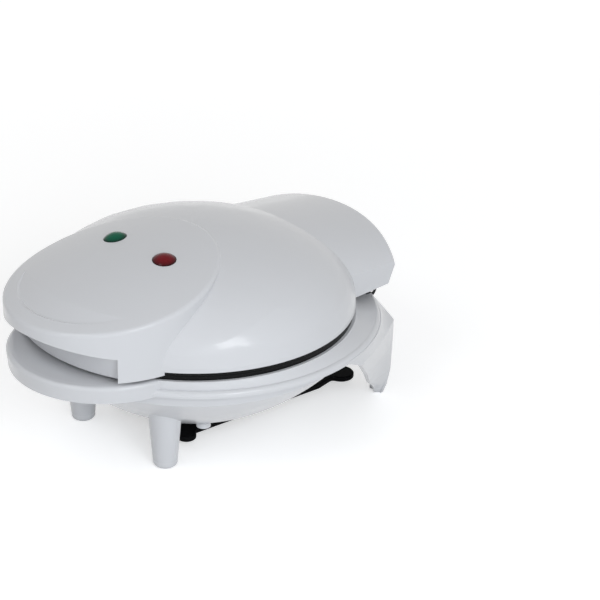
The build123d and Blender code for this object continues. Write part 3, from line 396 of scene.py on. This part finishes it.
def weave_group():
    """A braided sleeve: two sets of diagonal waves crossing, put out as a height and a mask of gaps."""
    tree, given, out = new_group(
        "weave_group", [("Strands", NUMBER, 900.0)], [("Height", NUMBER), ("Gaps", NUMBER)]
    )
    link = tree.links.new
    place = node_at(tree, "ShaderNodeTexCoord", (-900, -300))
    parts = node_at(tree, "ShaderNodeSeparateXYZ", (-700, 0))
    link(place.outputs["Object"], parts.inputs[0])
    level = math_at(tree, "ADD", (-500, 100), parts.outputs["X"], parts.outputs["Y"])
    waves = []
    for operation, row in (("ADD", 150), ("SUBTRACT", -100)):
        slope = math_at(tree, operation, (-350, row), level, parts.outputs["Z"])
        phase = math_at(tree, "MULTIPLY", (-200, row), slope, given.outputs["Strands"])
        waves.append(math_at(tree, "SINE", (-50, row), phase, None))
    height = math_at(tree, "MULTIPLY", (150, 50), *waves)
    link(height, out.inputs["Height"])
    link(math_at(tree, "LESS_THAN", (350, -100), height, -0.6), out.inputs["Gaps"])
    return tree


def effect(tree, maker, place, **values):
    """A group node in a material, its group built on first use, with named input values.

    Each maker builds its group under the maker's own name, by which it is found again.
    """
    group = bpy.data.node_groups.get(maker.__name__) or maker()
    return node_at(tree, "ShaderNodeGroup", place, node_tree=group, **values)


# Materials
Finish = namedtuple("Finish", "material tree mottle film bump")


def bare_material(name, **sockets):
    """A material that has only a Principled shader; returns it, its tree and the shader."""
    material = bpy.data.materials.new(name)
    material.use_nodes = True
    tree = material.node_tree
    tree.nodes.clear()
    end = node_at(tree, "ShaderNodeOutputMaterial", (900, 0))
    shader = node_at(tree, "ShaderNodeBsdfPrincipled", (600, 0), **sockets)
    tree.links.new(shader.outputs[0], end.inputs["Surface"])
    return material, tree, shader


def finish(name, colour, roughness, patch=18.0, drift=0.03, gloss_drift=0.08, grain=400.0,
           stretch=(1.0, 1.0, 1.0), relief=0.1, depth=0.0001, dust=0.04, dust_colour=(0.5, 0.49, 0.47),
           **sockets):
    """A mottled, faintly dusty material with fine relief; returns it with the nodes it is built on."""
    material, tree, shader = bare_material(name, **sockets)
    link = tree.links.new
    mottle = effect(tree, mottle_group, (-400, 150), Colour=(*colour, 1.0), Patch_size=patch,
                    Colour_drift=drift, Roughness=roughness, Gloss_drift=gloss_drift)
    film = effect(tree, dust_group, (100, 150), Amount=dust, Dust_colour=(*dust_colour, 1.0))
    link(mottle.outputs["Colour"], film.inputs["Colour"])
    link(mottle.outputs["Roughness"], film.inputs["Roughness"])
    link(film.outputs["Colour"], shader.inputs["Base Color"])
    link(film.outputs["Roughness"], shader.inputs["Roughness"])
    texture = effect(tree, grain_group, (-400, -250), Grain=grain, Stretch=stretch)
    bump = node_at(tree, "ShaderNodeBump", (300, -250), Strength=relief, Distance=depth)
    link(texture.outputs["Height"], bump.inputs["Height"])
    link(bump.outputs["Normal"], shader.inputs["Normal"])
    return Finish(material, tree, mottle, film, bump)


def retint(skin, factor, colour):
    """Mixes a second colour into a finish, between its mottle and its dust."""
    base = skin.mottle.outputs["Colour"]
    tinted = mixed(skin.tree, (-100, 300), factor, base, (*colour, 1.0))
    skin.tree.links.new(tinted, skin.film.inputs["Colour"])


def dress(material, *names):
    """Gives one material to all the faces of some CAD nodes."""
    for name in names:
        mesh = NODES[name].data
        mesh.materials.clear()
        mesh.materials.append(material)
        mesh.polygons.foreach_set("material_index", np.zeros(len(mesh.polygons), np.int32))


def shell_white(look):
    """Glossy white moulding: faint orange peel, and a scuffed band where the feet meet the table."""
    skin = finish(
        "gloss_white_moulding", look.white, look.white_roughness, patch=14.0, drift=0.02, gloss_drift=0.02,
        grain=110.0, relief=0.02, depth=0.0002, dust=0.01, dust_colour=(0.5, 0.49, 0.46),
        Specular_IOR_Level=0.35, Coat_Weight=0.35, Coat_Roughness=0.06,
    )
    tree, link = skin.tree, skin.tree.links.new
    place = node_at(tree, "ShaderNodeTexCoord", (-900, -500))
    parts = node_at(tree, "ShaderNodeSeparateXYZ", (-700, -500))
    link(place.outputs["Object"], parts.inputs[0])
    rub = node_at(tree, "ShaderNodeTexNoise", (-700, -700), Scale=260.0, Detail=5.0)
    link(place.outputs["Object"], rub.inputs["Vector"])
    low = math_at(
        tree, "MULTIPLY_ADD", (-500, -500), parts.outputs["Z"], SCUFF_LOSS, SCUFF_AT_FLOOR, clamp=True
    )
    worn = math_at(tree, "MULTIPLY", (-300, -550), low, rub.outputs[0])
    retint(skin, math_at(tree, "MULTIPLY", (-100, -550), worn, SCUFF_SHARE), look.scuff)
    rougher = math_at(tree, "ADD", (-100, -350), skin.mottle.outputs["Roughness"], worn, clamp=True)
    link(rougher, skin.film.inputs["Roughness"])
    return skin.material


def plate_black(look):
    """Satin non-stick coating: pale flecks and a sprayed texture over near black."""
    skin = finish(
        "satin_black_coating", look.coating, look.coating_roughness, patch=40.0, drift=0.25,
        gloss_drift=0.1, relief=0.12, dust=0.01, dust_colour=(0.2, 0.2, 0.2), Specular_IOR_Level=0.1,
    )
    flecks = effect(skin.tree, flecks_group, (-400, -500))
    retint(skin, flecks.outputs["Mask"], look.speckle)
    skin.tree.links.new(flecks.outputs["Height"], skin.bump.inputs["Height"])
    return skin.material


def heater_sheath(look):
    """Oxidised heater tube: brown bloom over dark metal, with drawn lines."""
    skin = finish(
        "oxidised_tube", look.sheath, 0.42, patch=60.0, drift=0.4, gloss_drift=0.2, grain=900.0,
        stretch=(1.0, 1.0, 6.0), relief=0.25, depth=0.00008, dust=0.0, Metallic=0.8,
    )
    tree = skin.tree
    bloom = node_at(tree, "ShaderNodeTexNoise", (-650, 400), Scale=55.0, Detail=5.0)
    place = node_at(tree, "ShaderNodeTexCoord", (-850, 400))
    tree.links.new(place.outputs["Object"], bloom.inputs["Vector"])
    brown = math_at(
        tree, "MULTIPLY_ADD", (-400, 450), bloom.outputs[0], BLOOM_CONTRAST, BLOOM_OFFSET, clamp=True
    )
    retint(skin, brown, look.oxide)
    return skin.material


def woven_sleeve(look):
    """Woven glass sleeve: crossed strands with darker gaps."""
    skin = finish(
        "woven_wire_sleeve", look.sleeve, 0.8, patch=90.0, drift=0.12, dust=0.0, relief=0.5,
        depth=0.0003, Sheen_Weight=0.3, Sheen_Roughness=0.5,
    )
    weave = effect(skin.tree, weave_group, (-400, -500), Strands=2600.0)
    retint(skin, weave.outputs["Gaps"], look.gaps)
    skin.tree.links.new(weave.outputs["Height"], skin.bump.inputs["Height"])
    return skin.material


def lens_colour(name, core, rim):
    """Clear coloured lens: core, painted rim shade and prism ribs, read from the piece's own attributes.
    """
    material, tree, shader = bare_material(
        name, Specular_IOR_Level=0.06, Coat_Weight=0.15, Coat_Roughness=0.03, Subsurface_Weight=0.1,
        Subsurface_Scale=0.003,
    )
    link = tree.links.new
    outward = node_at(tree, "ShaderNodeAttribute", (-600, 200), attribute_name="outward")
    ribs = node_at(tree, "ShaderNodeAttribute", (-600, -200), attribute_name="ribs")
    # Painted shade: the colour darkens towards the rim as the outward share grows, and the ribs add lines
    edge = math_at(tree, "POWER", (-400, 200), outward.outputs["Fac"], RIM_SHADE_POWER, clamp=True)
    rim_shade_and_ribs = math_at(tree, "MULTIPLY_ADD", (-200, 100), ribs.outputs["Fac"], RIB_SHADE, edge, clamp=True)
    link(mixed(tree, (100, 200), rim_shade_and_ribs, (*core, 1.0), (*rim, 1.0)), shader.inputs["Base Color"])
    mottle = effect(tree, mottle_group, (-200, -400), Roughness=0.1, Gloss_drift=0.04)
    link(mottle.outputs["Roughness"], shader.inputs["Roughness"])
    bump = node_at(tree, "ShaderNodeBump", (300, -250), Strength=0.15, Distance=0.0002)
    link(ribs.outputs["Fac"], bump.inputs["Height"])
    link(bump.outputs["Normal"], shader.inputs["Normal"])
    return material


# Surfaces
def turned_surface(radius, height, centre, axis, turns, sink=None, thread=None):
    """Points and quads of a profile turned about an axis.

    A point is centre + axis * height + radius * (u cos t + v sin t): radius and height run along
    the profile, t runs round the axis, and u and v are square to the axis and to each other. The
    sink function lowers a point by a depth that depends on its two sideways distances. The thread
    function takes a depth from the radius that depends on height and t.
    """
    t = np.linspace(0.0, 2.0 * np.pi, turns, endpoint=False)
    lift, turn = np.meshgrid(height, t, indexing="ij")
    reach = np.repeat(np.asarray(radius, float)[:, None], turns, axis=1)
    if thread is not None:
        reach = reach - thread(reach, lift, turn)
    across, along = reach * np.cos(turn), reach * np.sin(turn)
    if sink is not None:
        lift = lift - sink(across, along, lift)
    axis = Vector(axis).normalized()
    u = axis.orthogonal().normalized()
    v = axis.cross(u)
    points = np.stack([across, along, lift], axis=-1).reshape(-1, 3) @ np.array([u, v, axis])
    row, column = np.meshgrid(np.arange(len(radius) - 1), np.arange(turns), indexing="ij")
    after = (column + 1) % turns
    below = row + 1
    faces = np.stack(
        [row * turns + column, below * turns + column, below * turns + after, row * turns + after], axis=-1
    )
    return points + np.asarray(centre), faces.reshape(-1, 4)


def gathered(surfaces):
    """Several surfaces as one: their points stacked and their faces renumbered."""
    starts = np.cumsum([0] + [len(points) for points, _ in surfaces[:-1]])
    points = np.vstack([points for points, _ in surfaces])
    faces = np.vstack([faces + start for start, (_, faces) in zip(starts, surfaces)])
    return points, faces


def mesh_piece(name, surface, material, body, slot, *stands_for, **attributes):
    """Adds an object made of whole arrays of points and quads, closed at its poles, riding on a body."""
    points, faces = surface
    mesh = bpy.data.meshes.new(name)
    mesh.vertices.add(len(points))
    mesh.vertices.foreach_set("co", points.astype(np.float32).ravel())
    mesh.loops.add(faces.size)
    mesh.loops.foreach_set("vertex_index", faces.astype(np.int32).ravel())
    mesh.polygons.add(len(faces))
    mesh.polygons.foreach_set("loop_start", np.arange(0, faces.size, 4, dtype=np.int32))
    mesh.update(calc_edges=True)
    for label, values in attributes.items():
        layer = mesh.attributes.new(label, "FLOAT", "POINT")
        layer.data.foreach_set("value", values.astype(np.float32))
    close_poles(mesh)
    mesh.polygons.foreach_set("use_smooth", np.ones(len(mesh.polygons), bool))
    mesh.set_sharp_from_angle(angle=math.radians(SHARP_ANGLE))
    mesh.materials.append(material)
    piece = bpy.data.objects.new(name, mesh)
    bpy.context.scene.collection.objects.link(piece)
    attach(piece, body)
    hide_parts(*stands_for)


def close_poles(mesh):
    """Merges the points that lie on each other at a turned surface's poles."""
    work = bmesh.new()
    work.from_mesh(mesh)
    bmesh.ops.remove_doubles(work, verts=work.verts, dist=POLE_GAP)
    work.to_mesh(mesh)
    work.free()


def screw(sizes, seat, facing, reach):
    """Pan-head screw: a domed cap with a cross sunk in it, and a shank with a helical thread.

    The cap's height falls with the square of the radius. The cross is as deep as the product of
    two ramps: one across either bar and one towards its end. The thread depth is a triangle wave
    of height / pitch plus t / 2 pi, on the shank only and not on its tip.
    """
    head, rise, shank = sizes.head_radius, sizes.head_rise, sizes.shank_radius
    cap_edge, cap_fall, shoulder, tip = 0.94 * head, 0.3, 0.55 * rise, 0.35 * shank
    bar, bar_ramp = 0.13 * head, 0.06 * head
    arm, arm_ramp = 0.62 * head, 0.35 * head
    cap_floor, sunk = 0.6 * rise, 0.62 * rise
    cap = np.linspace(0.0, cap_edge, SCREW_CAP_RINGS)
    dome = rise * (1.0 - cap_fall * (cap / head) ** 2)
    steps = np.arange(0.0, reach - shank, sizes.pitch / RINGS_PER_PITCH)
    radius = np.concatenate([cap, [head, head, shank], np.full(len(steps), shank), [tip, 0.0]])
    height = np.concatenate([dome, [shoulder, 0.0, 0.0], -steps, [-reach, -reach]])

    def cross(x, y, lift):
        narrow = np.clip((bar - np.minimum(np.abs(x), np.abs(y))) / bar_ramp, 0.0, 1.0)
        short = np.clip((arm - np.hypot(x, y)) / arm_ramp, 0.0, 1.0)
        return np.where(lift > cap_floor, sunk * narrow * short, 0.0)

    def thread(reach_out, lift, turn):
        wave = 2.0 * np.abs((lift / sizes.pitch + turn / (2.0 * np.pi)) % 1.0 - 0.5)
        on_shank = (lift < -0.3 * shank) & (reach_out > 0.9 * shank)
        return np.where(on_shank, sizes.thread_depth * wave, 0.0)

    return turned_surface(radius, height, seat, facing, sizes.turns, sink=cross, thread=thread)


def pin_surface(sizes):
    """Hinge pin: a rod whose radius falls to nothing along a quarter ellipse at either end."""
    quarter = np.linspace(0.0, 0.5 * np.pi, PIN_END_RINGS)
    end_radius = sizes.radius * np.sin(quarter)
    end_height = sizes.half_length - sizes.dome * (1.0 - np.cos(quarter))
    between = np.linspace(end_height[-1], -end_height[-1], PIN_RINGS)[1:-1]
    radius = np.concatenate([end_radius, np.full(len(between), sizes.radius), end_radius[::-1]])
    height = np.concatenate([end_height, between, -end_height[::-1]])
    return turned_surface(radius, height, HINGE, SIDEWAYS, PIN_TURNS)


def crown_place(across, along):
    """Point and outward direction on the lid's crown: an arc across the lid swung along its length."""
    lean = math.asin(across / CROWN_CROSS_RADIUS)
    reach = CROWN_LONG_RADIUS - CROWN_CROSS_RADIUS * (1.0 - math.cos(lean))
    swing = math.asin(-along / reach)
    facing = np.array(
        [math.sin(lean), -math.cos(lean) * math.sin(swing), math.cos(lean) * math.cos(swing)]
    )
    lift = CROWN_TOP - CROWN_LONG_RADIUS + reach * math.cos(swing)
    return PLATE_CENTRE + np.array([across, along, lift]), facing


def lens_surface(sizes, side):
    """Lamp lens: part of a ball on a flange, with a stem; its radius share and prism ribs as attributes.

    The dome's height is the ball's own: the root of ball radius squared less radius squared. The
    ribs are a cosine round the axis, strongest half way out.
    """
    ball = (sizes.radius**2 + sizes.rise**2) / (2.0 * sizes.rise)
    out = np.linspace(0.0, 1.0, LENS_RINGS)
    cap = DOME_SHARE * sizes.radius * out
    dome = np.sqrt(ball**2 - cap**2) - (ball - sizes.rise)
    stem = sizes.flange + sizes.stem_length
    radius = np.concatenate([cap, [sizes.radius] * 2, [sizes.stem_radius] * 2, [0.0]])
    height = np.concatenate([dome, [0.0, -sizes.flange], [-sizes.flange, -stem], [-stem]])
    place, facing = crown_place(side * sizes.across, -sizes.forward)
    surface = turned_surface(radius, height, place, facing, LENS_TURNS)
    share_out = np.repeat(np.minimum(radius / sizes.radius, 1.0)[:, None], LENS_TURNS, axis=1)
    turn = np.linspace(0.0, 2.0 * np.pi, LENS_TURNS, endpoint=False)[None, :]
    ribs = np.cos(sizes.ribs * turn) * np.sin(np.pi * share_out)
    return surface, share_out.ravel(), ribs.ravel()


def ring_places(radius, angles, lift):
    """Points round the plate centre at one height, from angles in degrees."""
    turn = np.radians(angles)
    flat = np.stack([radius * np.cos(turn), radius * np.sin(turn), np.full(len(turn), lift)], axis=-1)
    return PLATE_CENTRE + flat


def flat_places(spots, lift):
    """Points from pairs of sideways and lengthways distances from the plate centre, at one height."""
    flat = np.array(spots, float)
    return PLATE_CENTRE + np.column_stack([flat, np.full(len(flat), lift)])


PAN_SPOTS = [(0.0, -0.089), (0.0, 0.089)]
EAR_SPOTS = [(-0.044, -0.1055), (0.044, -0.1055), (-0.05, 0.102), (0.05, 0.102)]

# Each set: node it stands for, body, way its heads face, length of its shanks, and its seats
SCREW_SETS = (
    ("lower_plate_screws", "base", UP, 0.022, flat_places(PAN_SPOTS, 0.07785)),
    ("upper_plate_screws", "lid", DOWN, 0.013, flat_places(EAR_SPOTS, 0.08745)),
    ("lower_shield_screws", "base", UP, 0.01, ring_places(0.0625, [-37.0, -3.0, 183.0, 217.0], 0.05545)),
    ("upper_shield_screws", "lid", UP, 0.01, ring_places(0.046, [45.0, 135.0, 225.0, 315.0], 0.10915)),
    ("cord_wrap_screws", "base", DOWN, 0.012, ring_places(0.018, [90.0, 210.0, 330.0], 0.007)),
)


# Operators
class PIZZAMAKER_OT_shells(Operator):
    """Dresses the white body and lid, the cord wrap and the cable gland"""

    bl_idname = "pizzamaker.shells"
    bl_label = "Dress mouldings"

    def execute(self, context):
        look = context.scene.pizzamaker_shell
        dress(shell_white(look), "base_shell", "lid_shell")
        wrap = finish(
            "matt_black_moulding", look.black, look.black_roughness, drift=0.2, grain=700.0, relief=0.25,
            dust=0.002, Specular_IOR_Level=0.01,
        )
        dress(wrap.material, "cord_wrap", "cord_gland")
        return {"FINISHED"}


class PIZZAMAKER_OT_castings(Operator):
    """Dresses the two baking plates"""

    bl_idname = "pizzamaker.castings"
    bl_label = "Dress baking plates"

    def execute(self, context):
        dress(plate_black(context.scene.pizzamaker_castings), "lower_plate", "upper_plate")
        return {"FINISHED"}


class PIZZAMAKER_OT_heating(Operator):
    """Dresses the heaters, their clips, the heat shields and the thermostat"""

    bl_idname = "pizzamaker.heating"
    bl_label = "Dress heating parts"

    def execute(self, context):
        look = context.scene.pizzamaker_heating
        dress(heater_sheath(look), "lower_element", "upper_element")
        clips = finish(
            "pressed_steel", look.steel, 0.35, drift=0.1, grain=500.0, stretch=(1.0, 8.0, 1.0),
            relief=0.15, dust=0.0, Metallic=1.0,
        )
        dress(clips.material, "lower_element_clips", "upper_element_clips")
        shields = finish(
            "mill_aluminium", look.aluminium, 0.32, patch=30.0, drift=0.08, grain=420.0,
            stretch=(1.0, 12.0, 1.0), relief=0.15, dust=0.0, Metallic=1.0,
        )
        dress(shields.material, "lower_shield", "upper_shield")
        body = finish(
            "phenolic_body", look.phenolic, 0.5, patch=120.0, drift=0.3, grain=800.0, relief=0.2
        )
        dress(body.material, "thermostat")
        return {"FINISHED"}


class PIZZAMAKER_OT_wiring(Operator):
    """Dresses the wires, fuse, terminal block, lamp plugs and neon lamps"""

    bl_idname = "pizzamaker.wiring"
    bl_label = "Dress wiring"

    def execute(self, context):
        look = context.scene.pizzamaker_wiring
        dress(woven_sleeve(look), "base_wires", "lid_wires")
        fuse = finish(
            "glass_fibre_sleeve", look.fuse, 0.6, patch=80.0, drift=0.2, grain=1400.0,
            stretch=(1.0, 4.0, 1.0), relief=0.3,
        )
        dress(fuse.material, "thermal_fuse")
        block = finish("terminal_moulding", look.block, 0.45, patch=60.0, drift=0.06, grain=600.0)
        dress(block.material, "terminal_block")
        rubber = finish(
            "silicone_plug", look.rubber, 0.55, patch=90.0, drift=0.15, grain=900.0, relief=0.2
        )
        dress(rubber.material, "lamp_plugs")
        glass = finish(
            "lamp_glass", look.glass, 0.06, patch=50.0, gloss_drift=0.04, relief=0.02, dust=0.0,
            Transmission_Weight=0.9, IOR=1.47,
        )
        dress(glass.material, "neon_lamps")
        return {"FINISHED"}


class PIZZAMAKER_OT_screws(Operator):
    """Builds the screws of the plates, shields and cord wrap"""

    bl_idname = "pizzamaker.screws"
    bl_label = "Build screws"

    def execute(self, context):
        sizes = context.scene.pizzamaker_screws
        zinc = finish(
            "zinc_plated", sizes.zinc, 0.3, patch=200.0, drift=0.12, gloss_drift=0.15, grain=1500.0,
            relief=0.15, dust=0.0, Metallic=1.0,
        )
        for node, body, facing, reach, seats in SCREW_SETS:
            surface = gathered([screw(sizes, seat, facing, reach) for seat in seats])
            name = node.replace("screws", "cross_screws")
            mesh_piece(name, surface, zinc.material, body, "screw_steel", node)
        return {"FINISHED"}


class PIZZAMAKER_OT_pin(Operator):
    """Builds the hinge pin"""

    bl_idname = "pizzamaker.pin"
    bl_label = "Build hinge pin"

    def execute(self, context):
        sizes = context.scene.pizzamaker_pin
        steel = finish(
            "ground_steel", sizes.steel, 0.16, patch=120.0, drift=0.06, grain=1200.0,
            stretch=(0.1, 1.0, 1.0), relief=0.12, dust=0.0, Metallic=1.0,
        )
        surface = pin_surface(sizes)
        mesh_piece("ground_hinge_pin", surface, steel.material, "base", "pin_steel", "hinge_pin")
        return {"FINISHED"}


class PIZZAMAKER_OT_lenses(Operator):
    """Builds the green and red lamp lenses"""

    bl_idname = "pizzamaker.lenses"
    bl_label = "Build lamp lenses"

    def execute(self, context):
        sizes = context.scene.pizzamaker_lenses
        pairs = (
            ("green_lens", -1, lens_colour("green_lens_plastic", sizes.green, sizes.green_rim)),
            ("red_lens", 1, lens_colour("red_lens_plastic", sizes.red, sizes.red_rim)),
        )
        for node, side, material in pairs:
            surface, outward, ribs = lens_surface(sizes, side)
            mesh_piece(f"ribbed_{node}", surface, material, "lid", node, node, outward=outward, ribs=ribs)
        return {"FINISHED"}


def area_lamp(name, place, target, sides, watts, colour):
    """A rectangular lamp of two side lengths, aimed at a point; returns its object."""
    lamp = bpy.data.lights.new(name, "AREA")
    lamp.shape = "RECTANGLE"
    lamp.size, lamp.size_y = sides
    lamp.energy = watts
    lamp.color = colour
    item = bpy.data.objects.new(name, lamp)
    bpy.context.scene.collection.objects.link(item)
    item.location = place
    item.rotation_euler = (Vector(target) - Vector(place)).to_track_quat("-Z", "Y").to_euler()
    return item


def seen_directly(tree, place):
    """1 for camera, glossy and transmission rays, and 0 for the light that falls on matt surfaces."""
    x, y = place
    rays = node_at(tree, "ShaderNodeLightPath", place).outputs
    pair = math_at(tree, "MAXIMUM", (x + 200, y), rays["Is Camera Ray"], rays["Is Glossy Ray"])
    return math_at(tree, "MAXIMUM", (x + 400, y), pair, rays["Is Transmission Ray"])


def round_floor(studio):
    """Adds the floor: rings whose radius grows with the square of the ring's number, at height 0.

    It glows only where it is seen directly, and more so as its distance from the middle grows.
    """
    ring = studio.floor_radius * np.linspace(0.0, 1.0, FLOOR_RINGS) ** 2
    points, faces = turned_surface(ring, np.zeros(FLOOR_RINGS), (0.0, 0.0, 0.0), UP, FLOOR_TURNS)
    mesh = bpy.data.meshes.new("studio_floor")
    mesh.from_pydata(points.tolist(), [], faces.tolist())
    close_poles(mesh)
    material, tree, shader = bare_material(
        "pale_floor", Specular_IOR_Level=0.1, Emission_Color=(*WHITE, 1.0)
    )
    link = tree.links.new
    mottle = effect(
        tree, mottle_group, (0, 0), Colour=(*studio.floor, 1.0), Colour_drift=0.01, Roughness=0.7
    )
    link(mottle.outputs["Colour"], shader.inputs["Base Color"])
    link(mottle.outputs["Roughness"], shader.inputs["Roughness"])
    place = node_at(tree, "ShaderNodeTexCoord", (-700, -600))
    reach = node_at(tree, "ShaderNodeVectorMath", (-500, -600), operation="LENGTH")
    link(place.outputs["Object"], reach.inputs[0])
    far = math_at(
        tree, "MULTIPLY_ADD", (-300, -600), reach.outputs["Value"], FAR_GLOW_RISE, FAR_GLOW_OFFSET,
        clamp=True,
    )
    level = math_at(tree, "MULTIPLY_ADD", (-100, -600), far, studio.floor_far_glow, studio.floor_glow)
    glow = math_at(tree, "MULTIPLY", (300, -300), seen_directly(tree, (-300, -300)), level)
    link(glow, shader.inputs["Emission Strength"])
    mesh.materials.append(material)
    floor = bpy.data.objects.new("studio_floor", mesh)
    bpy.context.scene.collection.objects.link(floor)


def studio_sky(studio):
    """A white world, dimmer for the light that falls on matt surfaces; returns it."""
    world = bpy.data.worlds.new("studio_sky")
    world.use_nodes = True
    tree = world.node_tree
    tree.nodes.clear()
    end = node_at(tree, "ShaderNodeOutputWorld", (600, 0))
    sky = node_at(tree, "ShaderNodeBackground", (300, 0), Color=(*WHITE, 1.0))
    strength = math_at(tree, "MAXIMUM", (100, 0), seen_directly(tree, (-500, 0)), studio.sky)
    tree.links.new(strength, sky.inputs["Strength"])
    tree.links.new(sky.outputs[0], end.inputs["Surface"])
    return world


def product_camera(studio):
    """A camera turned about the plates' centre by two angles, aimed at a point above it; returns it."""
    eye = bpy.data.cameras.new("product_camera")
    eye.sensor_width = SENSOR_WIDTH
    eye.lens = studio.lens
    eye.shift_x = studio.shift_x
    eye.shift_y = studio.shift_y
    eye.clip_start = CLIP_START
    camera = bpy.data.objects.new("product_camera", eye)
    level = math.cos(studio.elevation)
    back = Vector(
        (math.sin(studio.azimuth) * level, -math.cos(studio.azimuth) * level, math.sin(studio.elevation))
    )
    target = Vector(PLATE_CENTRE) + Vector((0.0, 0.0, studio.target_height))
    camera.location = target + back * studio.distance
    camera.rotation_euler = (-back).to_track_quat("-Z", "Y").to_euler()
    return camera


class PIZZAMAKER_OT_studio(Operator):
    """Builds the floor, world, lamps and camera"""

    bl_idname = "pizzamaker.studio"
    bl_label = "Build studio"

    def execute(self, context):
        scene = context.scene
        studio = scene.pizzamaker_studio
        round_floor(studio)
        scene.world = studio_sky(studio)
        front = area_lamp("front_lamp", FRONT_PLACE, LAMP_TARGET, FRONT_SIZE, studio.key, FRONT_COLOUR)
        front.visible_glossy = False
        area_lamp("ridge_lamp", RIDGE_PLACE, LAMP_TARGET, RIDGE_SIZE, studio.ridge, WHITE)
        area_lamp("window_lamp", WINDOW_PLACE, DOME_SIDE, WINDOW_SIZE, studio.window, WINDOW_COLOUR)
        camera = product_camera(studio)
        scene.collection.objects.link(camera)
        scene.camera = camera
        scene.view_settings.view_transform = "Standard"
        return {"FINISHED"}


class PIZZAMAKER_PT_looks(Panel):
    """Lists the operators that dress the pizza maker"""

    bl_idname = "PIZZAMAKER_PT_looks"
    bl_label = "Mini pizza maker"
    bl_space_type = "VIEW_3D"
    bl_region_type = "UI"
    bl_category = "Pizza maker"

    def draw(self, context):
        column = self.layout.column()
        for operator in OPERATORS:
            column.operator(operator.bl_idname)


GROUPS = {
    "pizzamaker_shell": PIZZAMAKER_PG_shell,
    "pizzamaker_castings": PIZZAMAKER_PG_castings,
    "pizzamaker_heating": PIZZAMAKER_PG_heating,
    "pizzamaker_wiring": PIZZAMAKER_PG_wiring,
    "pizzamaker_screws": PIZZAMAKER_PG_screws,
    "pizzamaker_pin": PIZZAMAKER_PG_pin,
    "pizzamaker_lenses": PIZZAMAKER_PG_lenses,
    "pizzamaker_studio": PIZZAMAKER_PG_studio,
}
OPERATORS = (
    PIZZAMAKER_OT_shells,
    PIZZAMAKER_OT_castings,
    PIZZAMAKER_OT_heating,
    PIZZAMAKER_OT_wiring,
    PIZZAMAKER_OT_screws,
    PIZZAMAKER_OT_pin,
    PIZZAMAKER_OT_lenses,
    PIZZAMAKER_OT_studio,
)
CLASSES = (*GROUPS.values(), *OPERATORS, PIZZAMAKER_PT_looks)


def register():
    """Registers the classes and hangs the sizes on the scene."""
    for item in CLASSES:
        bpy.utils.register_class(item)
    for name, group in GROUPS.items():
        setattr(bpy.types.Scene, name, PointerProperty(type=group))


def unregister():
    """Takes off what register put on."""
    for name in GROUPS:
        delattr(bpy.types.Scene, name)
    for item in reversed(CLASSES):
        bpy.utils.unregister_class(item)


def main():
    """Registers the add-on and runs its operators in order."""
    register()
    bpy.ops.pizzamaker.studio()
    bpy.ops.pizzamaker.shells()
    bpy.ops.pizzamaker.castings()
    bpy.ops.pizzamaker.heating()
    bpy.ops.pizzamaker.wiring()
    bpy.ops.pizzamaker.screws()
    bpy.ops.pizzamaker.pin()
    bpy.ops.pizzamaker.lenses()


if __name__ == "__main__":
    main()
